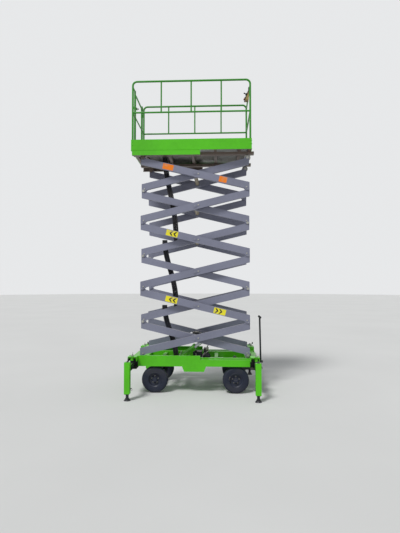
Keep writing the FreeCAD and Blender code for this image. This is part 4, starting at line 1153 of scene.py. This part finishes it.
# %% [markdown]
# ## Controls on the lid
# The lid gets a joystick in its boot, a stop button on a yellow disc, two switches, a key and a lamp, with
# no words. They could be placed by their own coordinates, but the lid slopes, so one function turns a place
# on the lid into a place in space.

# %% Fit the controls
STICK_UP, ROW = 0.040, -0.046
BOOT = [(0.025, 0), (0.025, 0.003), (0.020, 0.006), (0.022, 0.010), (0.016, 0.013), (0.018, 0.017),
        (0.012, 0.020), (0.013, 0.024), (0.007, 0.027)]
STICK = [(0.006, 0), (0.006, 0.008), (0.0100, 0.011), (0.0125, 0.020), (0.0120, 0.028), (0.0070, 0.033)]
BUTTON = [(0.011, 0), (0.011, 0.010), (0.017, 0.012), (0.0185, 0.018), (0.016, 0.023), (0.008, 0.025)]
GLAND_NUT = [(0.012, 0), (0.012, 0.008), (0.009, 0.010), (0.009, 0.018), (0.007, 0.022)]


def on_lid(across, up, out=0.0):
    return lid_mid + NEAR * across + lid_up * up + lid_out * (LID_T + out)


control.turn(2, BOOT, on_lid(0, STICK_UP), lid_out, 32)
control.turn(1, STICK, on_lid(0, STICK_UP, 0.026), lid_out + lid_up * 0.12, 24)
control.turn(3, [(0.020, 0), (0.020, 0.0015)], on_lid(-0.034, ROW), lid_out, 32)
control.turn(4, BUTTON, on_lid(-0.034, ROW), lid_out, 32)
control.turn(5, [(0.010, 0), (0.010, 0.004), (0.008, 0.005), (0.008, 0.007)], on_lid(0.036, ROW), lid_out, 28)
control.plate(5, rounded(0.004, 0.016, 0.0015), 0.014, on_lid(0.036, ROW, 0.006), NEAR, lid_up)
control.turn(6, [(0.008, 0), (0.008, 0.003), (0.0065, 0.0035), (0.0055, 0.008), (0.002, 0.0095)],
             on_lid(0.001, ROW), lid_out, 24)
for across in (-0.036, 0.036):
    control.bolt(5, on_lid(across, -0.006), lid_out, 0.014, 0.003)
    control.turn(5, [(0.003, 0), (0.0035, 0.012), (0.0040, 0.018), (0.0025, 0.020)],
                 on_lid(across, -0.006, 0.002), lid_out + lid_up * 0.35, 14)
for across in (-0.057, 0.057):
    for up in (-0.077, 0.077):
        control.turn(5, [(0.0035, 0), (0.0032, 0.001), (0.0015, 0.0016)], on_lid(across, up), lid_out, 12)
control.turn(1, GLAND_NUT, (back - 0.026, y_mid, box_low.z + 0.005), -UP, 24)

box_finishes = [panel_tan, black_plastic, grip_rubber, yellow_vinyl, red_plastic, zinc, green_plastic]
box = piece("control_box_with_joystick", control, box_finishes, "platform")
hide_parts("control_box")
print("control box of", len(control), "parts")

# %% [markdown]
# ## Floor and light
# A pale floor and an even pale sky show the machine's own colours. A hard sun would hide half of it in
# shadow, so a wide soft sun from the front left gives the arms their lit upper faces, and the sky fills the
# rest. The backdrop is bright only where it is seen, so it puts no more light on the paint.

# %% Lay the floor and hang the lights
floor_mesh = bmesh.new()
bmesh.ops.create_circle(floor_mesh, cap_ends=True, radius=60, segments=96)
floor_data = bpy.data.meshes.new("floor")
floor_mesh.to_mesh(floor_data)
floor_mesh.free()
floor = bpy.data.objects.new("floor", floor_data)
bpy.context.scene.collection.objects.link(floor)
floor_finish = Finish("pale_floor", {"Specular IOR Level": 0.2})
tone = blend_colour(floor_finish, cloud(floor_finish, 1.5, 3), rgb(206, 206, 204), rgb(216, 216, 214))
grain = 0.8 + 0.1 * cloud(floor_finish, 0.02, 3)
floor_data.materials.append(floor_finish.feed(base_color=tone, roughness=grain))

sun = bpy.data.objects.new("soft_sun", bpy.data.lights.new("soft_sun", "SUN"))
sun.data.energy, sun.data.angle = 2.3, math.radians(14)
sun.rotation_euler = Vector((0.42, 0.66, -1.1)).to_track_quat("-Z", "Y").to_euler()
bpy.context.scene.collection.objects.link(sun)

world = bpy.data.worlds.new("pale_sky")
sky = Tree(world)
straight = sky.add("ShaderNodeLightPath", out="Is Camera Ray")
mirrored = sky.add("ShaderNodeLightPath", out="Is Glossy Ray")
through = sky.add("ShaderNodeLightPath", out="Is Transmission Ray")
lit = sky.add("ShaderNodeBackground", None, {"Color": (0.93, 0.96, 1.0), "Strength": 0.42})
backdrop = sky.add("ShaderNodeBackground", None, {"Color": (0.80, 0.81, 0.82), "Strength": 1.0})
seen = straight + mirrored + through > 0.5
either = sky.add("ShaderNodeMixShader", None, {0: seen, 1: lit, 2: backdrop})
sky.add("ShaderNodeOutputWorld", None, {"Surface": either})
bpy.context.scene.world = world
bpy.context.scene.view_settings.view_transform = "Standard"
print("floor, sun and sky are in")

# %% [markdown]
# ## Finish
# The dressed machine has to stay as large as its CAD frame. The scene is brought up to date.

# %% Bring the scene up to date
bpy.context.view_layer.update()
